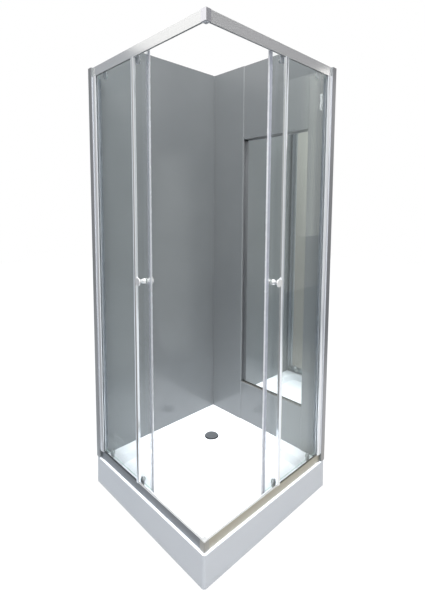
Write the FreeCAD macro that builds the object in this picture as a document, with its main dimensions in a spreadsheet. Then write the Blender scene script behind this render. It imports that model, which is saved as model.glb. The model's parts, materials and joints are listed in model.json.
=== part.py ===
import FreeCAD, Part
import math
import os
import Sketcher

# Square corner shower cabin with two sliding glass doors, a moulded tray and two wall panels.
# The origin is the middle of the tray's footprint on the floor, +Z is up.
# The entry corner is at +X, -Y. The left entry side runs along X, the right one along Y.
# The right entry side is the left one mirrored in the upright plane through the entry corner.

os.makedirs("parts", exist_ok=True)
doc = FreeCAD.newDocument("shower_cabin")

SIZES = [
    # whole cabin
    ("side", 800, "each side of the square tray"),
    ("tray_height", 130, "floor to the top of the tray's rim"),
    ("frame_height", 1860, "bottom rail's foot to the top of the top rail"),
    ("panel_rise", 140, "wall panels above the frame"),
    ("overrun", 5, "how far a cutting shape runs past what it cuts"),
    ("running_gap", 0.05, "radial play of a wheel on its pin and on its track"),
    ("slide_gap", 0.2, "play between pieces that slide past each other"),
    # tray
    ("tray_corner", 12, "radius of the tray's upright corners"),
    ("tray_edge", 4, "rounding of the tray's upper edge"),
    ("skirt_draft", 3, "how far the skirt leans in from the floor to the rim"),
    ("tray_skin", 4.5, "thickness of the moulded tray"),
    ("wall_rim", 85, "width of the rim along the walls"),
    ("entry_rim", 50, "width of the rim under the rails"),
    ("basin_depth", 34, "rim to basin floor"),
    ("basin_slope", 22, "how far the basin's side leans in"),
    ("basin_corner", 60, "radius of the basin's corners"),
    ("basin_back_corner", 165, "radius of the basin's corner behind the drain"),
    ("basin_lip", 5, "rounding where the rim turns down into the basin"),
    ("basin_soften", 7, "rounding where the basin's side meets its floor"),
    ("back_flange", 34, "height of the tray's edge along the walls"),
    ("leg_width", 30, "what is left of the skirt at each end of the wall sides"),
    ("waste_offset", 225, "waste centre from the outer faces along the walls"),
    ("waste_hole", 31, "radius of the hole for the waste"),
    # support under the tray
    ("board_thick", 16, "reinforcing board under the basin"),
    ("board_inset", 14, "board edge inside the basin floor's edge"),
    ("board_hole", 66, "radius of the board's hole round the trap"),
    ("tube", 25, "square steel tube of the frame"),
    ("tube_wall", 2, "wall of the steel tube"),
    ("trap_clearance", 10, "first cross tube beyond the board's hole"),
    ("foot_inset", 60, "foot centre from the end of its tube"),
    ("rod_radius", 6, "threaded rod of a foot"),
    ("nut_radius", 11, "lock nut of a foot, over its corners"),
    ("nut_height", 8, "lock nut of a foot"),
    ("foot_radius", 24, "plastic pad of a foot"),
    ("foot_height", 13, "plastic pad of a foot"),
    ("foot_sole", 6, "pad under the end of the rod"),
    # waste
    ("ring_radius", 40, "chrome ring in the basin floor"),
    ("ring_thick", 2.5, "chrome ring, and the seat for it"),
    ("ring_bore", 26, "bore of the ring"),
    ("ring_wall", 3, "wall of the ring's threaded sleeve"),
    ("sleeve_length", 26, "sleeve below the ring"),
    ("washer_thick", 3, "rubber washer under the tray"),
    ("cup_radius", 54, "trap body"),
    ("cup_height", 62, "trap body"),
    ("cup_wall", 3, "wall of the trap body"),
    ("pipe_radius", 20, "outside of the outlet pipe"),
    ("pipe_length", 95, "outlet pipe beyond the trap body"),
    ("collar_radius", 25, "collar where the outlet pipe leaves the trap"),
    ("collar_length", 12, "collar where the outlet pipe leaves the trap"),
    ("pipe_rise", 26, "outlet pipe's axis above the trap's bottom"),
    ("cover_radius", 35, "cover over the waste"),
    ("cover_thick", 2, "cover over the waste, at its edge"),
    ("cover_crown", 1.5, "rise of the cover's middle"),
    ("cover_lift", 3, "inlet gap under the cover"),
    ("cover_leg", 5, "side of a leg under the cover"),
    ("cover_fin", 2, "thickness of a centring fin"),
    ("cover_fin_drop", 12, "length of the fins below the cover"),
    # wall panels
    ("panel_depth", 22, "moulded panel from its face to its back"),
    ("panel_skin", 3, "thickness of the panel's skin and ribs"),
    ("panel_sweep", 252, "length over which a panel's top sweeps down"),
    ("column_middle", 61.5, "centre of the sunk column, to the entry side of the middle"),
    ("column_width", 413, "sunk column that holds the mirror"),
    ("column_sunk", 4, "depth of the sunk column"),
    ("mirror_sill", 225, "lower edge of the mirror's recess above the rim"),
    ("mirror_opening", 1385, "height of the mirror's recess"),
    ("mirror_skin", 2, "panel behind the mirror"),
    ("mirror_thick", 3, "mirror glass"),
    ("mirror_gap", 1.5, "mirror edge to the side of its recess"),
    ("post_wall", 1.6, "wall of the corner post"),
    # wall profiles
    ("channel_width", 28, "wall profile across the corner of the cabin"),
    ("channel_inset", 3, "wall profile's face behind the tray's edge"),
    ("channel_wall", 1.6, "wall of the profile"),
    ("channel_lip", 10, "lip that covers the panel's edge"),
    ("slider_reach", 55, "edge of the adjusting profile from the cabin's outer face"),
    ("slider_tail", 6, "end of the adjusting profile's tail from that face"),
    ("slider_front", 6, "adjusting profile's face behind the tray's edge"),
    ("slider_depth", 17, "adjusting profile, outside to inside"),
    ("slider_jaw", 12, "how deep the glass sits in the adjusting profile"),
    ("slider_round", 2.5, "rounding of its edges"),
    ("slider_crown", 2.5, "how far the adjusting profile's outer face is crowned"),
    # glass
    ("glass", 5, "thickness of every pane"),
    ("gasket", 0.8, "gasket on each side of a fixed pane"),
    ("stile_width", 17, "profile on the free edge of a fixed pane"),
    ("stile_depth", 13.5, "profile on the free edge of a fixed pane"),
    ("stile_front", 9.5, "its face behind the tray's edge"),
    ("stile_cover", 12, "how far it covers the pane"),
    ("stile_crown", 1.5, "how far its outer face is crowned"),
    # rails
    ("rail_inset", 12, "rail's face behind the tray's edge"),
    ("rail_height", 40, "face of a rail"),
    ("fascia", 8, "thickness of the rail's front part"),
    ("fascia_wall", 1.2, "wall on each side of the glass slot"),
    ("slot_floor", 6, "rail behind the bottom of the glass slot"),
    ("track_depth", 20, "rail from its face to its inner edge"),
    ("web", 2, "thickness of the rail's flange"),
    ("rib_middle", 15, "running rib's middle behind the rail's face"),
    ("rib", 2, "thickness of the running rib"),
    ("lower_rib", 9, "height of the bottom rail's rib above its flange"),
    ("upper_shelf", 27, "top of the upper rail's shelf below the top"),
    ("upper_rib", 3, "height of the top rail's rib above its shelf"),
    ("corner_block", 34, "end of a rail from the corner's outer faces"),
    ("corner_proud", 2, "how far the corner connector stands out of the rails"),
    ("corner_wall", 3, "wall of the corner connector"),
    ("corner_round", 3, "rounding of the connector's outer edge"),
    ("tongue", 14, "length of the tongues in the rails"),
    ("tongue_height", 24, "height of the tongues in the rails"),
    ("screw_radius", 1.6, "shank of a frame screw"),
    ("screw_head", 3, "head radius of a frame screw"),
    ("screw_head_thick", 1.6, "head of a frame screw"),
    ("screw_length", 4.5, "shank of a frame screw"),
    ("stop_length", 11, "rubber stop in a rail"),
    ("stop_height", 12, "rubber stop in a rail"),
    ("stop_gap", 0.5, "wheel to stop when the door is open"),
    # doors
    ("closed_edge", 50, "pane's leading edge from the far outer face, door closed"),
    ("closed_overlap", 11, "pane's trailing edge behind the fixed pane's profile, door closed"),
    ("open_lead", 65, "pane's leading edge beyond the fixed pane's profile, door open"),
    ("door_gap", 12, "pane's trailing edge to the wall panel, door open"),
    ("door_plane", 24, "outer face of the door pane behind the rail's face"),
    ("door_low", 28, "lower edge of the door pane above the rim"),
    ("door_high", 25, "upper edge of the door pane below the frame's top"),
    ("pane_hole", 5, "radius of the holes in a door pane"),
    ("seal", 1.4, "thickness of the seals"),
    ("seal_grip", 10, "how far the seals reach over the pane"),
    ("meeting_gap", 0.3, "gap between the two closing seals"),
    ("fin_place", 3, "middle of the trailing fin from the pane's edge"),
    ("fin_reach", 12, "tip of the trailing fin behind the rail's face"),
    ("fin_end_gap", 14, "end of the trailing seal from the pane's end"),
    # knobs
    ("knob_place", 40, "knob's middle from the pane's leading edge"),
    ("knob_level", 930, "knob's middle above the rim"),
    ("knob_radius", 17, "widest part of a knob"),
    ("knob_foot", 12, "radius where a knob meets the pane"),
    ("knob_waist", 8.5, "radius of a knob's waist"),
    ("knob_outer", 35, "length of the outer knob"),
    ("knob_inner", 30, "length of the inner knob"),
    ("knob_rim", 4, "thickness of a knob's rim"),
    ("knob_collar", 3, "thickness of a knob's foot"),
    ("knob_edge", 2, "rounding of a knob's rim"),
    ("stud_radius", 4, "stud that joins the knobs"),
    ("stud_length", 14, "stud beyond the pane, in the outer knob"),
    # rollers
    ("roller_place", 67, "roller's middle from the pane's edge"),
    ("wheel_radius", 10, "wheel over its flanges"),
    ("wheel_width", 7, "wheel"),
    ("groove_depth", 2.5, "groove that runs on the rib"),
    ("groove_play", 0.3, "groove wider than the rib, on each side"),
    ("groove_flare", 0.4, "groove's opening out at each side"),
    ("wheel_bevel", 0.6, "bevel on the wheel's edges"),
    ("pin_radius", 2.5, "pin of a wheel"),
    ("pin_head", 4, "head of a wheel's pin"),
    ("pin_head_thick", 1, "head of a wheel's pin"),
    ("wheel_side_gap", 0.4, "wheel to the plate and to the pin's head"),
    ("hanger_radius", 12, "ends of the upper roller's plate"),
    ("hanger_thick", 5, "upper roller's plate"),
    ("hanger_hole", 25, "upper hole from the pane's upper edge"),
    ("foot_hole", 19, "lower hole from the pane's lower edge"),
    ("boss_play", 0.15, "bush in the pane's hole"),
    ("housing_radius", 12.5, "lower roller's housing"),
    ("housing_thick", 2.5, "back plate of the housing"),
    ("housing_drop", 16, "housing below its hole"),
    ("carrier_radius", 9.6, "ends of the sprung carrier"),
    ("carrier_thick", 2.3, "sprung carrier"),
    ("guide_radius", 3.8, "boss that guides the carrier"),
    ("release", 8, "way of the carrier when its tab is lifted"),
    ("tab_rise", 5, "tab on top of the carrier"),
    ("tab_width", 10, "tab on top of the carrier"),
    ("clamp_radius", 9, "washer on the inner face of the pane"),
    ("clamp_thick", 2, "washer on the inner face of the pane"),
    ("cap_radius", 6, "screw head on the washer"),
    ("cap_thick", 3, "screw head on the washer"),
    ("bolt_radius", 2.6, "shank of a roller's screw"),
    ("bolt_bite", 3, "shank beyond the pane, in the plate"),
]

sheet = doc.addObject("Spreadsheet::Sheet", "Sizes")
for row, (word, amount, note) in enumerate(SIZES, start=1):
    sheet.set("A%d" % row, word)
    sheet.set("B%d" % row, str(amount))
    sheet.setAlias("B%d" % row, word)
    sheet.set("C%d" % row, note)
doc.recompute()


class Size:
    """A length that knows its number and the sheet expression it comes from."""

    def __init__(self, number, text):
        self.number = float(number)
        self.text = text

    def joined(self, sign, other, number):
        return Size(number, "(%s %s %s)" % (self.text, sign, as_size(other).text))

    def __add__(self, other):
        return self.joined("+", other, self.number + as_size(other).number)

    def __sub__(self, other):
        return self.joined("-", other, self.number - as_size(other).number)

    def __rsub__(self, other):
        return as_size(other) - self

    def __mul__(self, other):
        return self.joined("*", other, self.number * as_size(other).number)

    def __truediv__(self, other):
        return self.joined("/", other, self.number / as_size(other).number)

    def __neg__(self):
        return Size(-self.number, "(0 - %s)" % self.text)


def as_size(amount):
    if isinstance(amount, Size):
        return amount
    return Size(amount, repr(amount))


class Sheet:
    """Reads a driving size by its word, as in s.side."""

    def __getattr__(self, word):
        return Size(float(sheet.get(word)), "Sizes." + word)


s = Sheet()
ZERO = as_size(0)


def bind(thing, field, amount):
    thing.setExpression(field, as_size(amount).text)


def origin_plane(body, role):
    return [feature for feature in body.Origin.OriginFeatures if feature.Role == role][0]


def arc_between(start, end, radius):
    """The short arc from start to end, its centre to the left of the way for a positive radius."""
    chord = end - start
    middle = (start + end) * 0.5
    offset = math.sqrt(max(0, radius ** 2 - (chord.Length / 2) ** 2))
    left = FreeCAD.Vector(-chord.y, chord.x, 0).normalize()
    side = 1 if radius > 0 else -1
    centre = middle + left * offset * side
    outward = (middle - centre).normalize() if offset > 0 else left * -side
    return Part.Arc(start, centre + outward * abs(radius), end)


def draw_loop(sketch, loop):
    """A closed loop of (x, y) corners. A third entry is the radius of the arc to the next corner."""
    corners = [FreeCAD.Vector(as_size(p[0]).number, as_size(p[1]).number, 0) for p in loop]
    first = sketch.GeometryCount
    count = len(loop)
    for i, corner in enumerate(corners):
        nearby = corners[(i + 1) % count]
        if len(loop[i]) > 2:
            sketch.addGeometry(arc_between(corner, nearby, loop[i][2].number), False)
        else:
            sketch.addGeometry(Part.LineSegment(corner, nearby), False)
    # an arc that turns clockwise keeps its ends the other way round
    ends = []
    for i in range(count):
        backward = len(loop[i]) > 2 and loop[i][2].number < 0
        ends.append((2, 1) if backward else (1, 2))
    for i in range(count):
        j = (i + 1) % count
        joint = Sketcher.Constraint("Coincident", first + i, ends[i][1], first + j, ends[j][0])
        sketch.addConstraint(joint)
    for i, point in enumerate(loop):
        for kind, amount in (("DistanceX", point[0]), ("DistanceY", point[1])):
            rule = Sketcher.Constraint(kind, -1, 1, first + i, ends[i][0], as_size(amount).number)
            bind(sketch, "Constraints[%d]" % sketch.addConstraint(rule), amount)
        if len(point) > 2:
            radius = point[2] if point[2].number > 0 else -point[2]
            rule = Sketcher.Constraint("Radius", first + i, radius.number)
            bind(sketch, "Constraints[%d]" % sketch.addConstraint(rule), radius)


def draw_circle(sketch, x, y, radius):
    centre = FreeCAD.Vector(as_size(x).number, as_size(y).number, 0)
    normal = FreeCAD.Vector(0, 0, 1)
    index = sketch.addGeometry(Part.Circle(centre, normal, as_size(radius).number), False)
    for kind, amount in (("DistanceX", x), ("DistanceY", y)):
        rule = Sketcher.Constraint(kind, -1, 1, index, 3, as_size(amount).number)
        bind(sketch, "Constraints[%d]" % sketch.addConstraint(rule), amount)
    rule = Sketcher.Constraint("Radius", index, as_size(radius).number)
    bind(sketch, "Constraints[%d]" % sketch.addConstraint(rule), radius)


def new_body(label):
    body = doc.addObject("PartDesign::Body", label)
    body.Label = label
    return body


def outline(body, name, role, loops, level=ZERO):
    """A sketch on one of the body's origin planes, moved along the plane's normal by level."""
    sketch = body.newObject("Sketcher::SketchObject", name)
    sketch.AttachmentSupport = (origin_plane(body, role), "")
    sketch.MapMode = "FlatFace"
    bind(sketch, "AttachmentOffset.Base.z", level)
    for loop in loops:
        if loop[0] == "circle":
            draw_circle(sketch, *loop[1:])
        else:
            draw_loop(sketch, loop)
    return sketch


def pad(body, sketch, length):
    feature = body.newObject("PartDesign::Pad", "pad")
    feature.Profile = sketch
    bind(feature, "Length", length)
    return feature


def pocket(body, sketch, length, along_normal=False):
    """Cuts against the sketch's normal, or along it."""
    feature = body.newObject("PartDesign::Pocket", "pocket")
    feature.Profile = sketch
    feature.Reversed = along_normal
    bind(feature, "Length", length)
    return feature


def spin(body, sketch, axis):
    feature = body.newObject("PartDesign::Revolution", "turned")
    feature.Profile = sketch
    feature.ReferenceAxis = (sketch, [axis])
    feature.Angle = 360
    return feature


def round_edges(body, radius, wanted):
    """Fillets the edges of the body so far for which wanted(edge) holds."""
    doc.recompute()
    base = body.Tip
    names = ["Edge%d" % n for n, edge in enumerate(base.Shape.Edges, start=1) if wanted(edge)]
    feature = body.newObject("PartDesign::Fillet", "rounding")
    feature.Base = (base, names)
    bind(feature, "Radius", radius)
    return feature


def prism(label, role, loops, level, length):
    """The most common piece: one outline pushed straight up, or inward to outward for XZ_Plane."""
    body = new_body(label)
    pad(body, outline(body, label + "_outline", role, loops, level), length)
    return body


def place(thing, x, y, z):
    bind(thing, "Placement.Base.x", x)
    bind(thing, "Placement.Base.y", y)
    bind(thing, "Placement.Base.z", z)


def turn_about_z(thing, degrees):
    thing.Placement = FreeCAD.Placement(FreeCAD.Vector(), FreeCAD.Rotation(degrees, 0, 0))


def mirrored(label, source):
    """The same piece on the right entry side."""
    twin = doc.addObject("Part::Mirroring", label)
    twin.Label = label
    twin.Source = source
    twin.Normal = FreeCAD.Vector(1, 1, 0)
    return twin


def group(label, members):
    """Identical pieces that share one node."""
    cluster = doc.addObject("Part::Compound", label)
    cluster.Label = label
    cluster.Links = members
    return cluster


def box_loop(x0, y0, x1, y1):
    return [(x0, y0), (x1, y0), (x1, y1), (x0, y1)]


def rounded_loop(x0, y0, x1, y1, radii):
    """A rectangle with its own radius at each corner: low left, low right, high right, high left."""
    a, b, c, d = radii
    return [
        (x0 + a, y0), (x1 - b, y0, b),
        (x1, y0 + b), (x1, y1 - c, c),
        (x1 - c, y1), (x0 + d, y1, d),
        (x0, y1 - d), (x0, y0 + a, a),
    ]


def capsule_loop(z0, z1, radius):
    """An upright slot shape about x = 0, between two centres, in quarter arcs."""
    return [
        (radius, z0), (radius, z1, radius),
        (ZERO, z1 + radius, radius), (-radius, z1),
        (-radius, z0, radius), (ZERO, z0 - radius, radius),
    ]


def vertical(edge):
    span = edge.BoundBox
    return span.ZLength > max(span.XLength, span.YLength)


# Places that more than one piece uses
half = s.side / 2
rim = s.tray_height
frame_top = rim + s.frame_height
panel_top = frame_top + s.panel_rise
rail_face = s.rail_inset - half          # y of the left rails' outer face
bottom_rail_top = rim + s.rail_height
top_rail_foot = frame_top - s.rail_height
panel_face = half - s.panel_depth        # distance of a wall panel's face from the middle
channel_back = s.channel_inset + s.panel_depth + s.channel_inset
channel_end = channel_back - half        # y where the left wall panel ends in its profile
rail_start = s.channel_width + s.slide_gap - half
rail_end = half - s.corner_block
pane_front = rail_face + (s.fascia - s.glass) / 2
door_front = rail_face + s.door_plane
door_back = door_front + s.glass
door_tail = s.door_gap - panel_face
stile_edge = (door_tail + half - s.closed_edge + s.closed_overlap - s.open_lead) / 2
door_lead = stile_edge + s.open_lead
travel = half - s.closed_edge - door_lead
door_foot = rim + s.door_low
door_head = frame_top - s.door_high
floor_level = rim - s.basin_depth
waste_x = s.waste_offset - half
waste_y = half - s.waste_offset
roller_places = {"front": door_lead - s.roller_place, "rear": door_tail + s.roller_place}


# Tray
basin_low_x = s.wall_rim - half
basin_high_x = half - s.entry_rim
basin_radii = [s.basin_corner, s.basin_corner, s.basin_corner, s.basin_back_corner]


def basin_loop(spread):
    """Plan of the basin, its edge moved outward by spread."""
    low = basin_low_x - spread
    high = basin_high_x + spread
    return rounded_loop(low, -high, high, -low, [radius + spread for radius in basin_radii])


def hollow_out(body, spread, floor):
    """The basin's space: a lofted tub with sloping sides, its floor's edge rounded."""
    edge = outline(body, "basin_edge", "XY_Plane", [basin_loop(spread)], rim)
    bottom = outline(body, "basin_floor", "XY_Plane", [basin_loop(spread - s.basin_slope)], floor)
    tub = body.newObject("PartDesign::SubtractiveLoft", "tub")
    tub.Profile = edge
    tub.Sections = [bottom]
    depth = floor.number

    def at_floor(edge):
        span = edge.BoundBox
        return abs(span.ZMin - depth) < 0.01 and span.ZLength < 0.01

    round_edges(body, s.basin_soften + spread, at_floor)


def slope(run, rise):
    """The angle that leans by run over the height rise."""
    share = run / rise
    return Size(math.degrees(math.atan(share.number)), "atan" + share.text)


def skirted_block(body, inset, height):
    """A block whose entry sides lean in towards the rim, so that the tray leaves its mould."""
    reach = half - inset
    block = pad(body, outline(body, "plan", "XY_Plane", [box_loop(-reach, -reach, reach, reach)]), height)
    doc.recompute()
    entry_sides = []
    for n, face in enumerate(block.Shape.Faces, start=1):
        middle = face.CenterOfMass
        if max(middle.x, -middle.y) > (reach - s.overrun).number:
            entry_sides.append("Face%d" % n)
    lean = body.newObject("PartDesign::Draft", "lean")
    lean.Base = (block, entry_sides)
    lean.NeutralPlane = (origin_plane(body, "XY_Plane"), [""])
    bind(lean, "Angle", slope(s.skirt_draft, rim))
    round_edges(body, s.tray_corner - inset, vertical)


def make_tray():
    """Vacuum-formed acrylic: skirt, rim, sunk basin and the seat for the waste."""
    skin = s.tray_skin
    block = new_body("tray_block")
    skirted_block(block, ZERO, rim)
    hollow_out(block, ZERO, floor_level)
    outermost = (half - s.tray_corner).number

    def rim_edge(edge, outer):
        span = edge.BoundBox
        reach = max(abs(amount) for amount in (span.XMin, span.XMax, span.YMin, span.YMax))
        on_top = abs(span.ZMin - rim.number) < 0.01 and span.ZLength < 0.01
        return on_top and (reach > outermost) == outer

    round_edges(block, s.basin_lip, lambda edge: rim_edge(edge, False))
    round_edges(block, s.tray_edge, lambda edge: rim_edge(edge, True))
    drain = ["circle", waste_x, waste_y, s.ring_radius]
    seat = outline(block, "waste_seat", "XY_Plane", [drain], floor_level)
    pocket(block, seat, s.ring_thick)
    hole = outline(block, "waste_hole", "XY_Plane", [["circle", waste_x, waste_y, s.waste_hole]], rim)
    pocket(block, hole, rim)
    # the skirt shows on the entry sides only, the wall sides keep an edge and two legs
    leg = half - s.leg_width
    cut_top = rim - s.back_flange
    opening = [box_loop(-leg, -s.overrun, leg, cut_top)]
    cut_depth = skin + s.overrun * 2
    wall_side = outline(block, "wall_side", "YZ_Plane", opening, skin + s.overrun - half)
    pocket(block, wall_side, cut_depth)
    back_side = outline(block, "back_side", "XZ_Plane", opening, -half - s.overrun)
    pocket(block, back_side, cut_depth, along_normal=True)
    # what is hollow below the skin
    under = new_body("underside")
    skirted_block(under, skin, rim - skin)
    hollow_out(under, skin, floor_level - skin)
    around = ["circle", waste_x, waste_y, s.ring_radius + skin]
    seat_below = outline(under, "seat_below", "XY_Plane", [around], floor_level - skin)
    pocket(under, seat_below, s.ring_thick)
    tray = doc.addObject("Part::Cut", "tray")
    tray.Label = "tray"
    tray.Base = block
    tray.Tool = under
    return tray


board_level = floor_level - s.tray_skin - s.board_thick
board_low_x = basin_low_x + s.basin_slope + s.board_inset
board_high_x = basin_high_x - s.basin_slope - s.board_inset


def make_board():
    """Reinforcing board bonded under the basin, open round the trap."""
    side = box_loop(board_low_x, -board_high_x, board_high_x, -board_low_x)
    hole = ["circle", waste_x, waste_y, s.board_hole]
    return prism("base_board", "XY_Plane", [side, hole], board_level, s.board_thick)


tube_level = board_level - s.tube
trap_tube = waste_x + s.board_hole + s.trap_clearance
cross_places = {
    "trap": trap_tube,
    "middle": (trap_tube + board_high_x - s.tube) / 2,
    "entry": board_high_x - s.tube,
}


def make_frame():
    """Welded square steel tube: two long tubes, and three across between them."""
    bore = s.tube - s.tube_wall
    pieces = []
    for name, y in (("entry", -board_high_x), ("wall", -board_low_x - s.tube)):
        outer = box_loop(y, tube_level, y + s.tube, tube_level + s.tube)
        inner = box_loop(y + s.tube_wall, tube_level + s.tube_wall, y + bore, tube_level + bore)
        long_tube = prism("long_tube_" + name, "YZ_Plane", [outer, inner], board_low_x,
                          board_high_x - board_low_x)
        pieces.append(long_tube)
    for name, x in cross_places.items():
        outer = box_loop(x, tube_level, x + s.tube, tube_level + s.tube)
        inner = box_loop(x + s.tube_wall, tube_level + s.tube_wall, x + bore, tube_level + bore)
        span = board_high_x - board_low_x - s.tube * 2
        cross = prism("cross_tube_" + name, "XZ_Plane", [outer, inner], board_low_x + s.tube, span)
        pieces.append(cross)
    frame = doc.addObject("Part::MultiFuse", "tray_frame")
    frame.Label = "tray_frame"
    frame.Shapes = pieces
    return frame


def foot_spots():
    """Four feet under the ends of the long tubes and one under the middle cross tube."""
    near = board_high_x - s.foot_inset
    far = board_low_x + s.foot_inset
    rows = (-board_high_x + s.tube / 2, -board_low_x - s.tube / 2)
    spots = [(x, y) for x in (far, near) for y in rows]
    middle = cross_places["middle"] + s.tube / 2
    spots.append((middle, -(board_low_x + board_high_x) / 2))
    return spots


def make_feet():
    """Threaded rods with their lock nuts, and the plastic pads they stand in."""
    rods = []
    pads = []
    for n, (x, y) in enumerate(foot_spots()):
        rod = new_body("foot_rod_%d" % n)
        profile = [
            (ZERO, s.foot_sole), (s.rod_radius, s.foot_sole),
            (s.rod_radius, tube_level - s.nut_height), (s.nut_radius, tube_level - s.nut_height),
            (s.nut_radius, tube_level), (ZERO, tube_level),
        ]
        spin(rod, outline(rod, "rod_profile", "XZ_Plane", [profile]), "V_Axis")
        place(rod, x, y, ZERO)
        rods.append(rod)
        foot = new_body("foot_pad_%d" % n)
        socket = s.rod_radius + s.slide_gap
        profile = [
            (ZERO, ZERO), (s.foot_radius, ZERO), (s.foot_radius, s.foot_sole * 0.75),
            (socket + s.foot_sole, s.foot_height), (socket, s.foot_height),
            (socket, s.foot_sole), (ZERO, s.foot_sole),
        ]
        spin(foot, outline(foot, "pad_profile", "XZ_Plane", [profile]), "V_Axis")
        place(foot, x, y, ZERO)
        pads.append(foot)
    return [group("foot_bolts", rods), group("foot_pads", pads)]


# Waste
ring_level = floor_level - s.ring_thick
washer_top = ring_level - s.tray_skin
cup_top = washer_top - s.washer_thick
cup_foot = cup_top - s.cup_height
sleeve_radius = s.ring_bore + s.ring_wall


def make_waste():
    """Chrome ring with its sleeve, rubber washer, trap body with its outlet, and the lift-off cover."""
    ring = new_body("waste_ring")
    profile = [
        (s.ring_bore, ring_level - s.sleeve_length), (sleeve_radius, ring_level - s.sleeve_length),
        (sleeve_radius, ring_level), (s.ring_radius - s.slide_gap, ring_level),
        (s.ring_radius - s.slide_gap, floor_level - s.ring_thick / 2),
        (s.ring_radius - s.ring_thick, floor_level), (s.ring_bore + s.ring_wall / 2, floor_level),
        (s.ring_bore, floor_level - s.ring_wall / 2),
    ]
    spin(ring, outline(ring, "ring_profile", "XZ_Plane", [profile]), "V_Axis")
    place(ring, waste_x, waste_y, ZERO)
    washer_hole = ["circle", ZERO, ZERO, sleeve_radius + s.slide_gap]
    washer_rim = ["circle", ZERO, ZERO, s.cup_radius]
    washer = prism("waste_washer", "XY_Plane", [washer_rim, washer_hole], cup_top, s.washer_thick)
    place(washer, waste_x, waste_y, ZERO)
    return [ring, washer, make_trap(), make_cover()]


def make_trap():
    trap = new_body("waste_trap")
    throat = sleeve_radius + s.slide_gap
    inner = s.cup_radius - s.cup_wall
    profile = [
        (ZERO, cup_foot), (s.cup_radius - s.cup_wall * 2, cup_foot),
        (s.cup_radius, cup_foot + s.cup_wall * 2), (s.cup_radius, cup_top),
        (throat, cup_top), (throat, cup_top - s.cup_wall),
        (inner, cup_top - s.cup_wall), (inner, cup_foot + s.cup_wall * 2), (ZERO, cup_foot + s.cup_wall),
    ]
    spin(trap, outline(trap, "cup_profile", "XZ_Plane", [profile]), "V_Axis")
    axis = cup_foot + s.pipe_rise
    # the outlet leaves towards the left wall
    pipe = outline(trap, "pipe", "YZ_Plane", [["circle", ZERO, axis, s.pipe_radius]],
                   -s.cup_radius - s.pipe_length)
    pad(trap, pipe, s.pipe_length + s.cup_wall * 2)
    collar = outline(trap, "collar", "YZ_Plane", [["circle", ZERO, axis, s.collar_radius]],
                     -s.cup_radius - s.collar_length)
    pad(trap, collar, s.collar_length + s.collar_radius - s.pipe_radius)
    bore = outline(trap, "pipe_bore", "YZ_Plane", [["circle", ZERO, axis, s.pipe_radius - s.cup_wall]],
                   -s.cup_radius - s.pipe_length)
    pocket(trap, bore, s.pipe_length + s.cup_wall * 3, along_normal=True)
    place(trap, waste_x, waste_y, ZERO)
    return trap


def make_cover():
    """Domed cover on three legs, centred in the ring by three fins."""
    cover = new_body("waste_cover")
    foot = floor_level + s.cover_lift
    edge = foot + s.cover_thick
    crown = edge + s.cover_crown
    dome = (s.cover_radius * s.cover_radius / s.cover_crown + s.cover_crown) / 2
    profile = [(ZERO, foot), (s.cover_radius, foot), (s.cover_radius, edge, dome), (ZERO, crown)]
    spin(cover, outline(cover, "cover_profile", "XZ_Plane", [profile]), "V_Axis")
    reach = s.ring_bore - s.slide_gap * 2
    fin = outline(cover, "fin", "XY_Plane", [box_loop(-s.cover_fin / 2, ZERO, s.cover_fin / 2, reach)],
                  foot - s.cover_fin_drop)
    fin_pad = pad(cover, fin, s.cover_fin_drop)
    leg_in = s.ring_bore + s.ring_wall
    leg = outline(cover, "leg", "XY_Plane",
                  [box_loop(-s.cover_leg / 2, leg_in, s.cover_leg / 2, leg_in + s.cover_leg)], floor_level)
    leg_pad = pad(cover, leg, s.cover_lift)
    around = cover.newObject("PartDesign::PolarPattern", "around")
    around.Originals = [fin_pad, leg_pad]
    around.Axis = (fin, ["N_Axis"])
    around.Angle = 360
    around.Occurrences = 3
    cover.Tip = around
    place(cover, waste_x, waste_y, ZERO)
    return cover


# Wall panels
drop = s.panel_rise
sweep_radius = (s.panel_sweep * s.panel_sweep + drop * drop) / (drop * 4)


def panel_silhouette(near, far):
    """Front view of a panel: square at the corner post (near), swept down at the entry end (far)."""
    turn = far - s.panel_sweep
    return [
        (near, rim), (far, rim), (far, frame_top, -sweep_radius),
        (far - s.panel_sweep / 2, frame_top + drop / 2, sweep_radius),
        (turn, panel_top), (near, panel_top),
    ]


def rib_levels(count, low, high):
    """Even cells between two heights, each as its lower and upper edge inside the ribs."""
    pitch = (high - low) / count
    half_rib = s.panel_skin / 2
    return [(low + pitch * n + half_rib, low + pitch * (n + 1) - half_rib) for n in range(count)]


def sweep_cell(near, far, low):
    """The uppermost cell of a panel, following its swept top one skin inside."""
    skin = s.panel_skin
    turn = far - s.panel_sweep
    middle_x = far - s.panel_sweep / 2 - skin * s.panel_sweep / (sweep_radius * 2)
    middle_z = frame_top + drop / 2 - skin * (sweep_radius * 2 - drop) / (sweep_radius * 2)
    return [
        (near, low), (far - skin, low), (far - skin, frame_top - skin, -sweep_radius - skin),
        (middle_x, middle_z, sweep_radius - skin), (turn, panel_top - skin), (near, panel_top - skin),
    ]


def make_left_panel():
    """Moulded panel on the left wall, drawn as seen from the room, then turned onto its wall."""
    panel = new_body("left_wall_panel")
    near = -panel_face
    far = -channel_end
    skin = s.panel_skin
    face = outline(panel, "left_face", "XZ_Plane", [panel_silhouette(near, far)], -s.panel_depth)
    pad(panel, face, s.panel_depth)
    cells = []
    for low, high in rib_levels(5, rim + skin / 2, frame_top - drop):
        cells.append(box_loop(near + skin, low, far - skin, high))
    cells.append(sweep_cell(near + skin, far, frame_top - drop + skin / 2))
    hollow = outline(panel, "left_cells", "XZ_Plane", cells)
    pocket(panel, hollow, s.panel_depth - skin)
    # the drawing's X runs along the wall towards the entry, which is -Y for this wall
    turn_about_z(panel, -90)
    bind(panel, "Placement.Base.x", -half)
    return panel


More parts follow.
